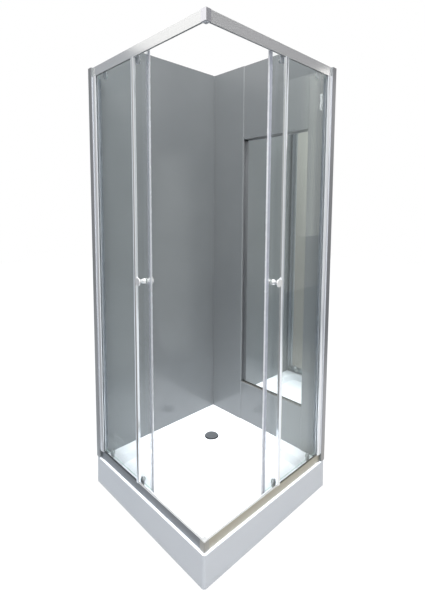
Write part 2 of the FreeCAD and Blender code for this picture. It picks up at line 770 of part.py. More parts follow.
def make_right_panel():
    """Moulded panel on the right wall, with a sunk column and the mirror's recess."""
    panel = new_body("right_wall_panel")
    near = -panel_face
    far = -channel_end
    low = s.column_middle - s.column_width / 2
    high = s.column_middle + s.column_width / 2
    sunk = panel_face + s.column_sunk
    section = [
        (near, half), (near, panel_face), (low - s.column_sunk, panel_face), (low, sunk), (high, sunk),
        (high + s.column_sunk, panel_face), (far, panel_face), (far, half),
    ]
    pad(panel, outline(panel, "right_section", "XY_Plane", [section], rim), panel_top - rim)
    turn = far - s.panel_sweep
    beyond = far + s.overrun
    above = panel_top + s.overrun
    sky = [
        (turn, panel_top, -sweep_radius), (far - s.panel_sweep / 2, frame_top + drop / 2, sweep_radius),
        (far, frame_top), (beyond, frame_top), (beyond, above), (turn, above),
    ]
    sweep = outline(panel, "right_sweep", "XZ_Plane", [sky], -half - s.overrun)
    pocket(panel, sweep, s.panel_depth + s.overrun * 2, along_normal=True)
    mirror_low = rim + s.mirror_sill
    mirror_high = mirror_low + s.mirror_opening
    recess = outline(panel, "mirror_recess", "XZ_Plane", [box_loop(low, mirror_low, high, mirror_high)],
                     -(panel_face - s.overrun))
    pocket(panel, recess, s.panel_depth - s.mirror_skin + s.overrun)
    skin = s.panel_skin
    shallow = []
    for cell_low, cell_high in rib_levels(5, rim + skin / 2, frame_top - drop):
        shallow.append(box_loop(near + skin, cell_low, low - skin * 2, cell_high))
        shallow.append(box_loop(high + skin * 2, cell_low, far - skin, cell_high))
    above_ribs = frame_top - drop + skin / 2
    shallow.append(box_loop(near + skin, above_ribs, low - skin * 2, panel_top - skin))
    shallow.append(box_loop(high + skin * 2, above_ribs, far - skin, frame_top - skin))
    behind = outline(panel, "side_cells", "XZ_Plane", shallow, -half)
    pocket(panel, behind, s.panel_depth - skin, along_normal=True)
    column_cells = [
        box_loop(low + skin, rim + skin, high - skin, mirror_low - skin),
        box_loop(low + skin, mirror_high + skin, high - skin - s.panel_sweep / 2, panel_top - skin),
    ]
    middle = outline(panel, "column_cells", "XZ_Plane", column_cells, -half)
    pocket(panel, middle, s.panel_depth - s.column_sunk - skin, along_normal=True)
    return panel


def make_mirror():
    """Mirror glass bonded in its recess."""
    low = s.column_middle - s.column_width / 2 + s.mirror_gap
    high = s.column_middle + s.column_width / 2 - s.mirror_gap
    foot = rim + s.mirror_sill + s.mirror_gap
    head = rim + s.mirror_sill + s.mirror_opening - s.mirror_gap
    back = half - s.mirror_skin
    return prism("mirror", "XZ_Plane", [box_loop(low, foot, high, head)], -back, s.mirror_thick)


def make_post():
    """Square tube in the back corner that both panels meet."""
    wall = s.post_wall
    outer = box_loop(-half, panel_face, -panel_face, half)
    inner = box_loop(wall - half, panel_face + wall, -panel_face - wall, half - wall)
    return prism("corner_post", "XY_Plane", [outer, inner], rim, panel_top - rim)


# Upright profiles of the left entry side, drawn in plan
def make_wall_profile():
    """Open channel screwed to the wall panel's end, its lip over the panel's edge."""
    face = s.channel_inset - half
    mouth = s.channel_width - half
    wall = s.channel_wall
    lip = wall - panel_face
    section = [
        (-half, face), (mouth, face), (mouth, face + wall), (wall - half, face + wall),
        (wall - half, channel_end - wall), (mouth, channel_end - wall), (mouth, channel_end),
        (lip, channel_end), (lip, channel_end + s.channel_lip), (-panel_face, channel_end + s.channel_lip),
        (-panel_face, channel_end), (-half, channel_end),
    ]
    return prism("left_wall_profile", "XY_Plane", [section], rim, s.frame_height)


def crown_radius(width, rise):
    """Radius of a shallow arc that rises over a width."""
    return (width * width / (rise * 4) + rise) / 2


slider_end = s.slider_reach - half
slider_face = s.slider_front - half
slider_back = slider_face + s.slider_depth
jaw_floor = slider_end - s.slider_jaw
jaw_front = pane_front - s.gasket
jaw_back = pane_front + s.glass + s.gasket


def make_adjusting_profile():
    """Slides in the channel to take up an uneven wall, and holds the fixed pane in its jaws."""
    tail = s.slider_tail - half
    shoulder = rail_start
    front = s.channel_inset + s.channel_wall + s.slide_gap - half
    back = channel_end - s.channel_wall - s.slide_gap
    edge = slider_face + s.slider_crown
    crown = crown_radius(slider_end - shoulder, s.slider_crown)
    section = [
        (tail, front), (shoulder, front), (shoulder, edge, crown), (slider_end, edge),
        (slider_end, jaw_front), (jaw_floor, jaw_front), (jaw_floor, jaw_back), (slider_end, jaw_back),
        (slider_end, slider_back), (shoulder, slider_back), (shoulder, back), (tail, back),
    ]
    wall = s.channel_wall
    chamber = box_loop(tail + wall, edge + wall, jaw_floor - wall, slider_back - wall)
    profile = prism("left_adjusting_profile", "XY_Plane", [section, chamber], bottom_rail_top,
                    top_rail_foot - bottom_rail_top)
    reach = slider_end.number
    faces = (edge.number, slider_back.number)

    def outer_edge(line):
        middle = line.BoundBox.Center
        on_face = min(abs(middle.y - y) for y in faces) < 0.01
        return vertical(line) and abs(middle.x - reach) < 0.01 and on_face

    round_edges(profile, s.slider_round, outer_edge)
    return profile


def make_gasket():
    """Soft strip between the fixed pane and the jaws."""
    grip = slider_end + s.gasket
    section = [
        (jaw_floor, jaw_front), (grip, jaw_front), (grip, pane_front), (jaw_floor + s.gasket, pane_front),
        (jaw_floor + s.gasket, pane_front + s.glass), (grip, pane_front + s.glass), (grip, jaw_back),
        (jaw_floor, jaw_back),
    ]
    return prism("gasket_strip", "XY_Plane", [section], bottom_rail_top, top_rail_foot - bottom_rail_top)


pane_edge = stile_edge - s.stile_width + s.stile_cover


def make_fixed_glass():
    """Fixed pane: in the gasket at the wall, in the rails' slots above and below."""
    plan = box_loop(jaw_floor + s.gasket, pane_front, pane_edge, pane_front + s.glass)
    foot = rim + s.slot_floor
    head = frame_top - s.slot_floor
    return prism("left_fixed_glass", "XY_Plane", [plan], foot, head - foot)


def make_stile():
    """Polished profile on the fixed pane's free edge, which the door closes behind."""
    start = stile_edge - s.stile_width
    front = s.stile_front - half
    back = front + s.stile_depth
    play = s.slide_gap
    crown = crown_radius(s.stile_width, s.stile_crown)
    section = [
        (start, front + s.stile_crown, crown), (stile_edge, front + s.stile_crown),
        (stile_edge, back), (start, back),
        (start, pane_front + s.glass + play), (pane_edge, pane_front + s.glass + play),
        (pane_edge, pane_front - play), (start, pane_front - play),
    ]
    height = top_rail_foot - bottom_rail_top
    stile = prism("left_fixed_stile", "XY_Plane", [section], bottom_rail_top, height)
    edge_x = stile_edge.number

    def outer_edge(edge):
        return vertical(edge) and abs(edge.BoundBox.Center.x - edge_x) < 0.01

    round_edges(stile, s.slider_round, outer_edge)
    return stile


# Rails, drawn in section and pushed along X
def screw_levels():
    return (rim + s.rail_height / 2 + s.screw_head, frame_top - s.rail_height / 2 + s.screw_head * 2)


def screw_places():
    """Along X: in the end block's tongue and in the corner connector's."""
    return (rail_start + s.tongue / 2, rail_end - s.tongue / 2)


def drill_rail(rail, level):
    """Screw holes through the wall behind the glass slot."""
    holes = [["circle", x, level, s.screw_radius] for x in screw_places()]
    drilled = outline(rail, "screw_holes", "XZ_Plane", holes, -(rail_face + s.fascia + s.overrun))
    pocket(rail, drilled, s.fascia_wall + s.overrun, along_normal=True)


def make_bottom_rail():
    """Extruded rail: glass slot in front, low running rib behind."""
    y = rail_face
    rib_front = y + s.rib_middle - s.rib / 2
    rib_back = y + s.rib_middle + s.rib / 2
    slot_front = y + s.fascia_wall
    slot_back = y + s.fascia - s.fascia_wall
    deck = rim + s.web
    rib_top = deck + s.lower_rib
    section = [
        (y, rim), (y + s.track_depth, rim), (y + s.track_depth, deck), (rib_back, deck), (rib_back, rib_top),
        (rib_front, rib_top), (rib_front, deck), (y + s.fascia, deck), (y + s.fascia, bottom_rail_top),
        (slot_back, bottom_rail_top), (slot_back, rim + s.slot_floor), (slot_front, rim + s.slot_floor),
        (slot_front, bottom_rail_top), (y, bottom_rail_top),
    ]
    rail = prism("left_bottom_rail", "YZ_Plane", [section], rail_start, rail_end - rail_start)
    drill_rail(rail, screw_levels()[0])
    return rail


def make_top_rail():
    """Extruded rail: glass slot in front, shelf with the running rib behind, flange above."""
    y = rail_face
    rib_front = y + s.rib_middle - s.rib / 2
    rib_back = y + s.rib_middle + s.rib / 2
    slot_front = y + s.fascia_wall
    slot_back = y + s.fascia - s.fascia_wall
    shelf = frame_top - s.upper_shelf
    shelf_edge = rib_back + s.web
    slot_top = frame_top - s.slot_floor
    section = [
        (y, top_rail_foot), (slot_front, top_rail_foot), (slot_front, slot_top), (slot_back, slot_top),
        (slot_back, top_rail_foot), (y + s.fascia, top_rail_foot), (y + s.fascia, shelf - s.web),
        (shelf_edge, shelf - s.web), (shelf_edge, shelf), (rib_back, shelf), (rib_back, shelf + s.upper_rib),
        (rib_front, shelf + s.upper_rib), (rib_front, shelf), (y + s.fascia, shelf),
        (y + s.fascia, frame_top - s.web), (y + s.track_depth, frame_top - s.web),
        (y + s.track_depth, frame_top), (y, frame_top),
    ]
    rail = prism("left_top_rail", "YZ_Plane", [section], rail_start, rail_end - rail_start)
    drill_rail(rail, screw_levels()[1])
    return rail


def tongue_loop(low, high, level):
    return box_loop(low, level - s.tongue_height / 2, high, level + s.tongue_height / 2)


def tongue_level(low):
    """Middle of a tongue: in the open part of the glass slot."""
    if low:
        return rim + s.slot_floor + (s.rail_height - s.slot_floor) / 2
    return frame_top - s.slot_floor - (s.rail_height - s.slot_floor) / 2


slot_play = (s.fascia - s.fascia_wall * 2 - s.glass) / 2
tongue_back = pane_front + s.glass
screw_bite = s.screw_length - s.fascia_wall - slot_play + s.slide_gap


def drill_tongue(body, x, low):
    level = screw_levels()[0 if low else 1]
    hole = outline(body, "screw_bore", "XZ_Plane", [["circle", x, level, s.screw_radius]],
                   -(tongue_back + s.overrun))
    pocket(body, hole, s.overrun + screw_bite, along_normal=True)


def make_connector(label, low):
    """Corner block of the frame: a shell with a rounded outer edge and a tongue into each rail."""
    foot = rim if low else top_rail_foot
    outer = half - s.rail_inset + s.corner_proud
    wall = s.corner_wall
    block = new_body(label)
    shell = [
        (rail_end, -outer), (outer, -outer), (outer, -rail_end), (outer - wall, -rail_end),
        (outer - wall, -outer + wall), (rail_end, -outer + wall),
    ]
    pad(block, outline(block, "shell", "XY_Plane", [shell], foot), s.rail_height)
    edge_x = outer.number

    def outer_edge(edge):
        middle = edge.BoundBox.Center
        return vertical(edge) and abs(middle.x - edge_x) < 0.01 and abs(middle.y + edge_x) < 0.01

    round_edges(block, s.corner_round, outer_edge)
    plate = [
        (rail_end, wall - outer), (outer - wall, wall - outer), (outer - wall, -rail_end),
        (rail_end, -rail_end),
    ]
    plate_level = foot if low else frame_top - s.web
    pad(block, outline(block, "plate", "XY_Plane", [plate], plate_level), s.web)
    middle = tongue_level(low)
    tongue = outline(block, "tongue", "XZ_Plane", [tongue_loop(rail_end - s.tongue, outer - wall, middle)],
                     -tongue_back)
    pad(block, tongue, s.glass)
    drill_tongue(block, screw_places()[1], low)
    side_tongue = [
        (-rail_end + s.tongue, middle - s.tongue_height / 2), (-outer + wall, middle - s.tongue_height / 2),
        (-outer + wall, middle + s.tongue_height / 2), (-rail_end + s.tongue, middle + s.tongue_height / 2),
    ]
    other = outline(block, "other_tongue", "YZ_Plane", [side_tongue], -tongue_back)
    pad(block, other, s.glass)
    level = screw_levels()[0 if low else 1]
    bore = outline(block, "other_bore", "YZ_Plane", [["circle", -screw_places()[1], level, s.screw_radius]],
                   -(tongue_back + s.overrun))
    pocket(block, bore, s.overrun + screw_bite, along_normal=True)
    return block


def make_end_block(label, low):
    """Plastic block that ties the end of a rail into the wall profile."""
    foot = rim if low else top_rail_foot
    play = s.channel_wall + s.slide_gap
    block = new_body(label)
    body = box_loop(play - half, s.channel_inset + play - half, rail_start, channel_end - play)
    pad(block, outline(block, "block", "XY_Plane", [body], foot), s.rail_height)
    tongue = outline(block, "tongue", "XZ_Plane",
                     [tongue_loop(rail_start, rail_start + s.tongue, tongue_level(low))],
                     -tongue_back)
    pad(block, tongue, s.glass)
    drill_tongue(block, screw_places()[0], low)
    return block


def make_screw(label, x, z):
    """Pan-head screw from inside the cabin, through the rail's inner wall into a tongue."""
    screw = new_body(label)
    profile = [
        (ZERO, -s.screw_length), (s.screw_radius, -s.screw_length), (s.screw_radius, ZERO),
        (s.screw_head, ZERO), (s.screw_head, s.screw_head_thick / 2),
        (s.screw_head / 2, s.screw_head_thick), (ZERO, s.screw_head_thick),
    ]
    spin(screw, outline(screw, "screw_profile", "XY_Plane", [profile]), "V_Axis")
    place(screw, x, rail_face + s.fascia, z)
    return screw


def make_stop(label, low):
    """Rubber block beside the rib that the rear wheel meets when the door is open."""
    end = roller_places["rear"] - s.wheel_radius - s.stop_gap
    deck = rim + s.web if low else frame_top - s.upper_shelf
    plan = box_loop(end - s.stop_length, rail_face + s.fascia, end, rail_face + s.rib_middle - s.rib / 2)
    return prism(label, "XY_Plane", [plan], deck, s.stop_height)


# Left door
door_level = rim + s.knob_level
knob_x = door_lead - s.knob_place
upper_hole = door_head - s.hanger_hole
lower_hole = door_foot + s.foot_hole
rolling_radius = s.wheel_radius - s.groove_depth
upper_axle = frame_top - s.upper_shelf + s.upper_rib + rolling_radius + s.running_gap
lower_axle = rim + s.web + s.lower_rib + rolling_radius + s.running_gap


def make_door_glass():
    """Toughened pane with its holes for the knob and the four rollers."""
    pane = prism("left_door_glass", "XZ_Plane", [box_loop(door_tail, door_foot, door_lead, door_head)],
                 -door_back, s.glass)
    holes = [["circle", knob_x, door_level, s.pane_hole]]
    for x in roller_places.values():
        holes.append(["circle", x, upper_hole, s.pane_hole])
        holes.append(["circle", x, lower_hole, s.pane_hole])
    drilled = outline(pane, "pane_holes", "XZ_Plane", holes, -(door_back + s.overrun))
    pocket(pane, drilled, s.glass + s.overrun * 2, along_normal=True)
    return pane


def make_leading_seal():
    """Closing strip on the leading edge, its magnet nose cut at 45 degrees to meet the other door's."""
    front = door_front - s.seal
    back = door_back + s.seal
    grip = door_lead - s.seal_grip
    nose_front = -front - s.meeting_gap - travel
    nose_back = -back - s.meeting_gap - travel
    section = [
        (grip, front), (nose_front, front), (nose_back, back), (grip, back), (grip, door_back),
        (door_lead, door_back), (door_lead, door_front), (grip, door_front),
    ]
    return prism("left_leading_seal", "XY_Plane", [section], door_foot, door_head - door_foot)


def make_trailing_seal():
    """Strip on the trailing edge, with a fin that reaches towards the fixed pane's profile."""
    front = door_front - s.seal
    back = door_back + s.seal
    start = door_tail - s.seal
    grip = door_tail + s.seal_grip
    fin_low = door_tail + s.fin_place - s.seal / 2
    fin_high = door_tail + s.fin_place + s.seal / 2
    tip = rail_face + s.fin_reach
    section = [
        (start, front), (fin_low, front), (fin_low, tip), (fin_high, tip), (fin_high, front), (grip, front),
        (grip, door_front), (door_tail, door_front), (door_tail, door_back), (grip, door_back), (grip, back),
        (start, back),
    ]
    foot = door_foot + s.fin_end_gap
    return prism("left_trailing_seal", "XY_Plane", [section], foot, door_head - s.fin_end_gap * 1.5 - foot)


def knob_profile(length, bore, bore_depth):
    """Hourglass: foot on the pane, waist, and a wide rim. Drawn as (distance from the pane, radius)."""
    swell = length - s.knob_rim
    waist_at = s.knob_collar + (swell - s.knob_collar) * 0.45
    foot_run = waist_at - s.knob_collar
    foot_rise = s.knob_foot - s.knob_waist
    head_run = swell - waist_at
    head_rise = s.knob_radius - s.knob_waist
    foot_curve = (foot_run * foot_run + foot_rise * foot_rise) / (foot_rise * 2)
    head_curve = (head_run * head_run + head_rise * head_rise) / (head_rise * 2)
    return [
        (bore_depth, ZERO), (bore_depth, bore), (ZERO, bore), (ZERO, s.knob_foot),
        (s.knob_collar, s.knob_foot, foot_curve), (waist_at, s.knob_waist, head_curve),
        (swell, s.knob_radius), (length - s.knob_edge, s.knob_radius, -s.knob_edge),
        (length, s.knob_radius - s.knob_edge), (length, ZERO),
    ]


def make_outer_knob():
    knob = new_body("left_outer_knob")
    depth = s.stud_length + s.slide_gap
    profile = knob_profile(s.knob_outer, s.stud_radius + s.running_gap, depth)
    spin(knob, outline(knob, "knob_profile", "XZ_Plane", [profile]), "H_Axis")
    turn_about_z(knob, -90)
    place(knob, knob_x, door_front, door_level)
    return knob


def make_inner_knob():
    """Inner knob with the stud that passes through the pane."""
    knob = new_body("left_inner_knob")
    reach = s.glass + s.stud_length
    profile = knob_profile(s.knob_inner, s.stud_radius, -reach)
    spin(knob, outline(knob, "knob_profile", "XZ_Plane", [profile]), "H_Axis")
    turn_about_z(knob, 90)
    place(knob, knob_x, door_back, door_level)
    return knob


wheel_middle = rail_face + s.rib_middle


def make_wheel(label, x, z):
    """Grooved nylon wheel that runs on the rib."""
    wheel = new_body(label)
    bore = s.pin_radius + s.running_gap
    wide = s.wheel_width / 2
    groove = s.rib / 2 + s.groove_play
    mouth = groove + s.groove_flare
    floor = s.wheel_radius - s.groove_depth
    full = s.wheel_radius
    profile = [
        (-wide, bore), (-wide, full - s.wheel_bevel), (-wide + s.wheel_bevel, full), (-mouth, full),
        (-groove, floor), (groove, floor), (mouth, full), (wide - s.wheel_bevel, full),
        (wide, full - s.wheel_bevel), (wide, bore),
    ]
    spin(wheel, outline(wheel, "wheel_profile", "YZ_Plane", [profile]), "H_Axis")
    place(wheel, x, wheel_middle, z)
    return wheel


def pin_on(body, plate_front, axle):
    """Riveted pin: from the plate out through the wheel, with a head beyond it."""
    head_back = wheel_middle - s.wheel_width / 2 - s.wheel_side_gap
    shank = outline(body, "pin", "XZ_Plane", [["circle", ZERO, axle, s.pin_radius]], -plate_front)
    pad(body, shank, plate_front - head_back)
    head = outline(body, "pin_head", "XZ_Plane", [["circle", ZERO, axle, s.pin_head]], -head_back)
    pad(body, head, s.pin_head_thick)


def bush_on(body, level, radius):
    """Round bush from the plate into the pane's hole, short of its inner face."""
    bush = outline(body, "bush", "XZ_Plane", [["circle", ZERO, level, radius]], -(door_back - s.slide_gap))
    pad(body, bush, s.glass - s.slide_gap)


def bolt_bore(body, level, reach):
    """Screw hole that starts at the bush's inner end."""
    bore = outline(body, "bolt_bore", "XZ_Plane", [["circle", ZERO, level, s.bolt_radius + s.running_gap]],
                   -(door_back + s.overrun))
    pocket(body, bore, reach + s.overrun, along_normal=True)


def make_hanger(label, x):
    """Upper roller's plate: screwed to the pane, its riveted pin carries the wheel."""
    hanger = new_body(label)
    front = door_front - s.hanger_thick
    shape = capsule_loop(upper_hole, upper_axle, s.hanger_radius)
    pad(hanger, outline(hanger, "plate", "XZ_Plane", [shape], -door_front), s.hanger_thick)
    pin_on(hanger, front, upper_axle)
    bush_on(hanger, upper_hole, s.pane_hole - s.boss_play)
    bolt_bore(hanger, upper_hole, s.glass + s.bolt_bite + s.slide_gap)
    place(hanger, x, ZERO, ZERO)
    return hanger


carrier_back = door_front - s.housing_thick - s.slide_gap / 2
carrier_front = carrier_back - s.carrier_thick


def make_housing(label, x):
    """Lower roller's housing: back plate on the pane, two side lips and the guide boss."""
    housing = new_body(label)
    r = s.housing_radius
    low = lower_hole - s.housing_drop
    shape = [
        (r, low), (r, lower_hole, r), (ZERO, lower_hole + r, r), (-r, lower_hole), (-r, low),
    ]
    pad(housing, outline(housing, "plate", "XZ_Plane", [shape], -door_front), s.housing_thick)
    inner = s.carrier_radius + s.slide_gap
    lips = [box_loop(inner, low, r, lower_hole), box_loop(-r, low, -inner, lower_hole)]
    lip_depth = s.carrier_thick + s.slide_gap
    pad(housing, outline(housing, "lips", "XZ_Plane", lips, s.housing_thick - door_front), lip_depth)
    boss = ["circle", ZERO, lower_hole, s.guide_radius]
    boss_root = door_front - s.housing_thick
    pad(housing, outline(housing, "boss", "XZ_Plane", [boss], -boss_root), lip_depth)
    head = ["circle", ZERO, lower_hole, s.guide_radius + s.housing_thick]
    head_root = boss_root - lip_depth
    pad(housing, outline(housing, "boss_head", "XZ_Plane", [head], -head_root), s.pin_head_thick)
    bush_on(housing, lower_hole, s.pane_hole - s.boss_play)
    bolt_bore(housing, lower_hole, s.glass + s.bolt_bite + s.slide_gap)
    place(housing, x, ZERO, ZERO)
    return housing


def make_carrier(label, x):
    """Sprung plate that holds the lower wheel down on its rib. Lifting its tab frees the door."""
    carrier = new_body(label)
    r = s.carrier_radius
    plate = outline(carrier, "plate", "XZ_Plane", [capsule_loop(lower_axle, lower_hole, r)], -carrier_back)
    pad(carrier, plate, s.carrier_thick)
    top = lower_hole + r
    half_tab = s.tab_width / 2
    tab = box_loop(-half_tab, top - s.carrier_thick, half_tab, top + s.tab_rise)
    pad(carrier, outline(carrier, "tab", "XZ_Plane", [tab], -carrier_back), s.carrier_thick)
    slot_radius = s.guide_radius + s.slide_gap / 2
    slot = outline(carrier, "slot", "XZ_Plane",
                   [capsule_loop(lower_hole - s.release - s.slide_gap, lower_hole, slot_radius)],
                   -(carrier_back + s.overrun))
    pocket(carrier, slot, s.carrier_thick + s.overrun * 2, along_normal=True)
    pin_on(carrier, carrier_front, lower_axle)
    place(carrier, x, ZERO, ZERO)
    return carrier


def make_roller_screw(label, x, z):
    """Screw with its washer on the pane's inner face, its shank in the roller's bush."""
    screw = new_body(label)
    depth = s.glass + s.bolt_bite
    profile = [
        (ZERO, -depth), (s.bolt_radius, -depth), (s.bolt_radius, ZERO), (s.clamp_radius, ZERO),
        (s.clamp_radius, s.clamp_thick), (s.cap_radius, s.clamp_thick),
        (s.cap_radius, s.clamp_thick + s.cap_thick / 2), (s.cap_radius / 2, s.clamp_thick + s.cap_thick),
        (ZERO, s.clamp_thick + s.cap_thick),
    ]
    spin(screw, outline(screw, "screw_profile", "XY_Plane", [profile]), "V_Axis")
    place(screw, x, door_back, z)
    return screw


# The cabin, put together
nodes = [make_tray(), make_board(), make_frame()]
nodes += make_feet()
nodes += make_waste()
nodes += [make_left_panel(), make_right_panel(), make_mirror(), make_post()]
nodes += [make_connector("bottom_corner_connector", True), make_connector("top_corner_connector", False)]

left_side = [
    make_wall_profile(), make_adjusting_profile(), make_fixed_glass(), make_stile(),
    make_bottom_rail(), make_top_rail(),
    make_door_glass(), make_leading_seal(), make_trailing_seal(), make_outer_knob(), make_inner_knob(),
    group("left_hangers", [make_hanger("hanger_" + end, x) for end, x in roller_places.items()]),
    group("left_housings", [make_housing("housing_" + end, x) for end, x in roller_places.items()]),
]
roller_screws = []
for end, x in roller_places.items():
    roller_screws.append(make_roller_screw("upper_screw_" + end, x, upper_hole))
    roller_screws.append(make_roller_screw("lower_screw_" + end, x, lower_hole))
    left_side.append(make_carrier("left_%s_carrier" % end, x))
    left_side.append(make_wheel("left_upper_%s_wheel" % end, x, upper_axle))
    left_side.append(make_wheel("left_lower_%s_wheel" % end, x, lower_axle))
left_side.append(group("left_roller_screws", roller_screws))
nodes += left_side
nodes += [mirrored(piece.Label.replace("left_", "right_"), piece) for piece in left_side]


def on_both_sides(label, members):
    """A node of like pieces from both entry sides."""
    twins = [mirrored(piece.Label + "_twin", piece) for piece in members]
    return group(label, members + twins)


nodes.append(on_both_sides("glass_gaskets", [make_gasket()]))
end_blocks = [make_end_block("low_block", True), make_end_block("high_block", False)]
nodes.append(on_both_sides("rail_end_blocks", end_blocks))
stops = [make_stop("low_stop", True), make_stop("high_stop", False)]
nodes.append(on_both_sides("door_stops", stops))
frame_screws = []
for x in screw_places():
    for z in screw_levels():
        frame_screws.append(make_screw("frame_screw_%d" % len(frame_screws), x, z))
nodes.append(on_both_sides("frame_screws", frame_screws))

doc.recompute()
for thing in doc.Objects:
    troubles = [word for word in thing.State if word in ("Invalid", "Error")]
    if troubles:
        raise RuntimeError("%s is %s" % (thing.Label, troubles))
for node in nodes:
    if node.Shape.isNull() or not node.Shape.isValid():
        raise RuntimeError("%s has no valid shape" % node.Label)
    node.Shape.exportStep("parts/%s.step" % node.Label)
print(len(nodes), "nodes")
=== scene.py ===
import json
import math

import bmesh
import bpy
from mathutils import Matrix, Vector

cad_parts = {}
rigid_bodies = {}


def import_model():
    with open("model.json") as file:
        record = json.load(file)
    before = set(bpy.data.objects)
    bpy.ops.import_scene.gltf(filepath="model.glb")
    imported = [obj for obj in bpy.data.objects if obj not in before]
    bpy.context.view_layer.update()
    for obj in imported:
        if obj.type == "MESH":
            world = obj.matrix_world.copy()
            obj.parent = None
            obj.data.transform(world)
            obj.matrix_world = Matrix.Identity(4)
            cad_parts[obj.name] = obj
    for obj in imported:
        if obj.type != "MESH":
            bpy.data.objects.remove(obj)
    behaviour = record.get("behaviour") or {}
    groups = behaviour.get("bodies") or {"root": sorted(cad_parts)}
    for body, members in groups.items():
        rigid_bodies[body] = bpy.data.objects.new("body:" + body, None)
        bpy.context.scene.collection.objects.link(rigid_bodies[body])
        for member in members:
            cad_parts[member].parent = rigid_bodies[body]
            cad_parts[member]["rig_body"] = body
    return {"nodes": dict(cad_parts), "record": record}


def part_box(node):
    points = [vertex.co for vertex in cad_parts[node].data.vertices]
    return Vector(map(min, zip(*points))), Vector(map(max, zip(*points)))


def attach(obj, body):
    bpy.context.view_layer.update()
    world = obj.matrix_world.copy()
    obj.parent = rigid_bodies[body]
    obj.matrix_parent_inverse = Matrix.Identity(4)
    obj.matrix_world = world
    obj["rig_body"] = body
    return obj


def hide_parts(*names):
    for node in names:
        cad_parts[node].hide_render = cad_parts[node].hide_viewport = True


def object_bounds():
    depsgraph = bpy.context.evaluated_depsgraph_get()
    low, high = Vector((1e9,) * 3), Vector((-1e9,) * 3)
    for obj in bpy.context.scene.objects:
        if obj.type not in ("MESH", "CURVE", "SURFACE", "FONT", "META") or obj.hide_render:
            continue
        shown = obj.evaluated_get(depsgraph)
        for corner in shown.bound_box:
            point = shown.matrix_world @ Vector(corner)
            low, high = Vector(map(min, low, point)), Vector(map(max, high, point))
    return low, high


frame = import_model()
cad_low, cad_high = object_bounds()
scene = bpy.context.scene
MM = 0.001

# Camera
# It stands in front of the entry corner at eye level, where the photograph was taken from.
# The photograph's centre isn't on the lens axis, so the sensor is shifted to suit.
IMAGE_WIDTH, IMAGE_HEIGHT = 425, 600
FOCAL_PX = 395.11
LENS_AXIS_PX = (216.59, 245.63)
CAMERA_PLACE = Vector((1.3558, -1.2658, 1.3564))
CAMERA_YAW = -0.80502
CAMERA_PITCH = -0.09212
CAMERA_ROLL = 0.00528
SENSOR_MM = 36.0
CLIP_START = 0.05

camera = bpy.data.objects.new("camera", bpy.data.cameras.new("camera"))
scene.collection.objects.link(camera)
scene.camera = camera
ahead = Vector((
    math.sin(CAMERA_YAW) * math.cos(CAMERA_PITCH),
    math.cos(CAMERA_YAW) * math.cos(CAMERA_PITCH),
    math.sin(CAMERA_PITCH),
))
level_right = Vector((math.cos(CAMERA_YAW), -math.sin(CAMERA_YAW), 0.0))
level_up = level_right.cross(ahead)
camera_right = level_right * math.cos(CAMERA_ROLL) + level_up * math.sin(CAMERA_ROLL)
camera_up = level_up * math.cos(CAMERA_ROLL) - level_right * math.sin(CAMERA_ROLL)
turn = Matrix((camera_right, camera_up, -ahead)).transposed().to_4x4()
camera.matrix_world = Matrix.Translation(CAMERA_PLACE) @ turn
camera.data.sensor_width = SENSOR_MM
camera.data.lens = FOCAL_PX / IMAGE_HEIGHT * SENSOR_MM
camera.data.shift_x = (IMAGE_WIDTH / 2 - LENS_AXIS_PX[0]) / IMAGE_HEIGHT
camera.data.shift_y = (LENS_AXIS_PX[1] - IMAGE_HEIGHT / 2) / IMAGE_HEIGHT
camera.data.clip_start = CLIP_START
scene.view_settings.view_transform = "Standard"


# Studio
# A pale floor and a white surround, lit by three soft lamps and a broad sun from straight above.
# Plain cards that only gloss can see give the metal, the glass and the mirror something to show.
class Wire:
    """A shader socket that Python's operators work on, value by value or as a vector."""

    def __init__(self, finish, socket):
        self.finish = finish
        self.socket = socket

    def joined(self, operation, other):
        """One Math node, or one Vector Math node where either side is a vector."""
        vector = is_vector(self) or is_vector(other)
        kind, output = ("VectorMath", "Vector") if vector else ("Math", "Value")
        return self.finish.node(kind, {"operation": operation}, {0: self, 1: other})[output]

    def __add__(self, other):
        return self.joined("ADD", other)

    def __mul__(self, other):
        return self.joined("MULTIPLY", other)

    def __pow__(self, other):
        return self.joined("POWER", other)

    __radd__ = __add__
    __rmul__ = __mul__

    def at_least(self, other):
        return self.joined("MAXIMUM", other)

    def between(self, low, high):
        """0 below low, 1 above high, smooth in between. A low above high turns it round."""
        sockets = {"Value": self, "From Min": low, "From Max": high}
        return self.finish.node("MapRange", {"interpolation_type": "SMOOTHSTEP"}, sockets)["Result"]


def is_vector(value):
    return isinstance(value, tuple) or (isinstance(value, Wire) and value.socket.type != "VALUE")


class Outputs:
    """A node's outputs, by name or number."""

    def __init__(self, finish, made):
        self.finish = finish
        self.made = made

    def __getitem__(self, key):
        return Wire(self.finish, self.made.outputs[key])


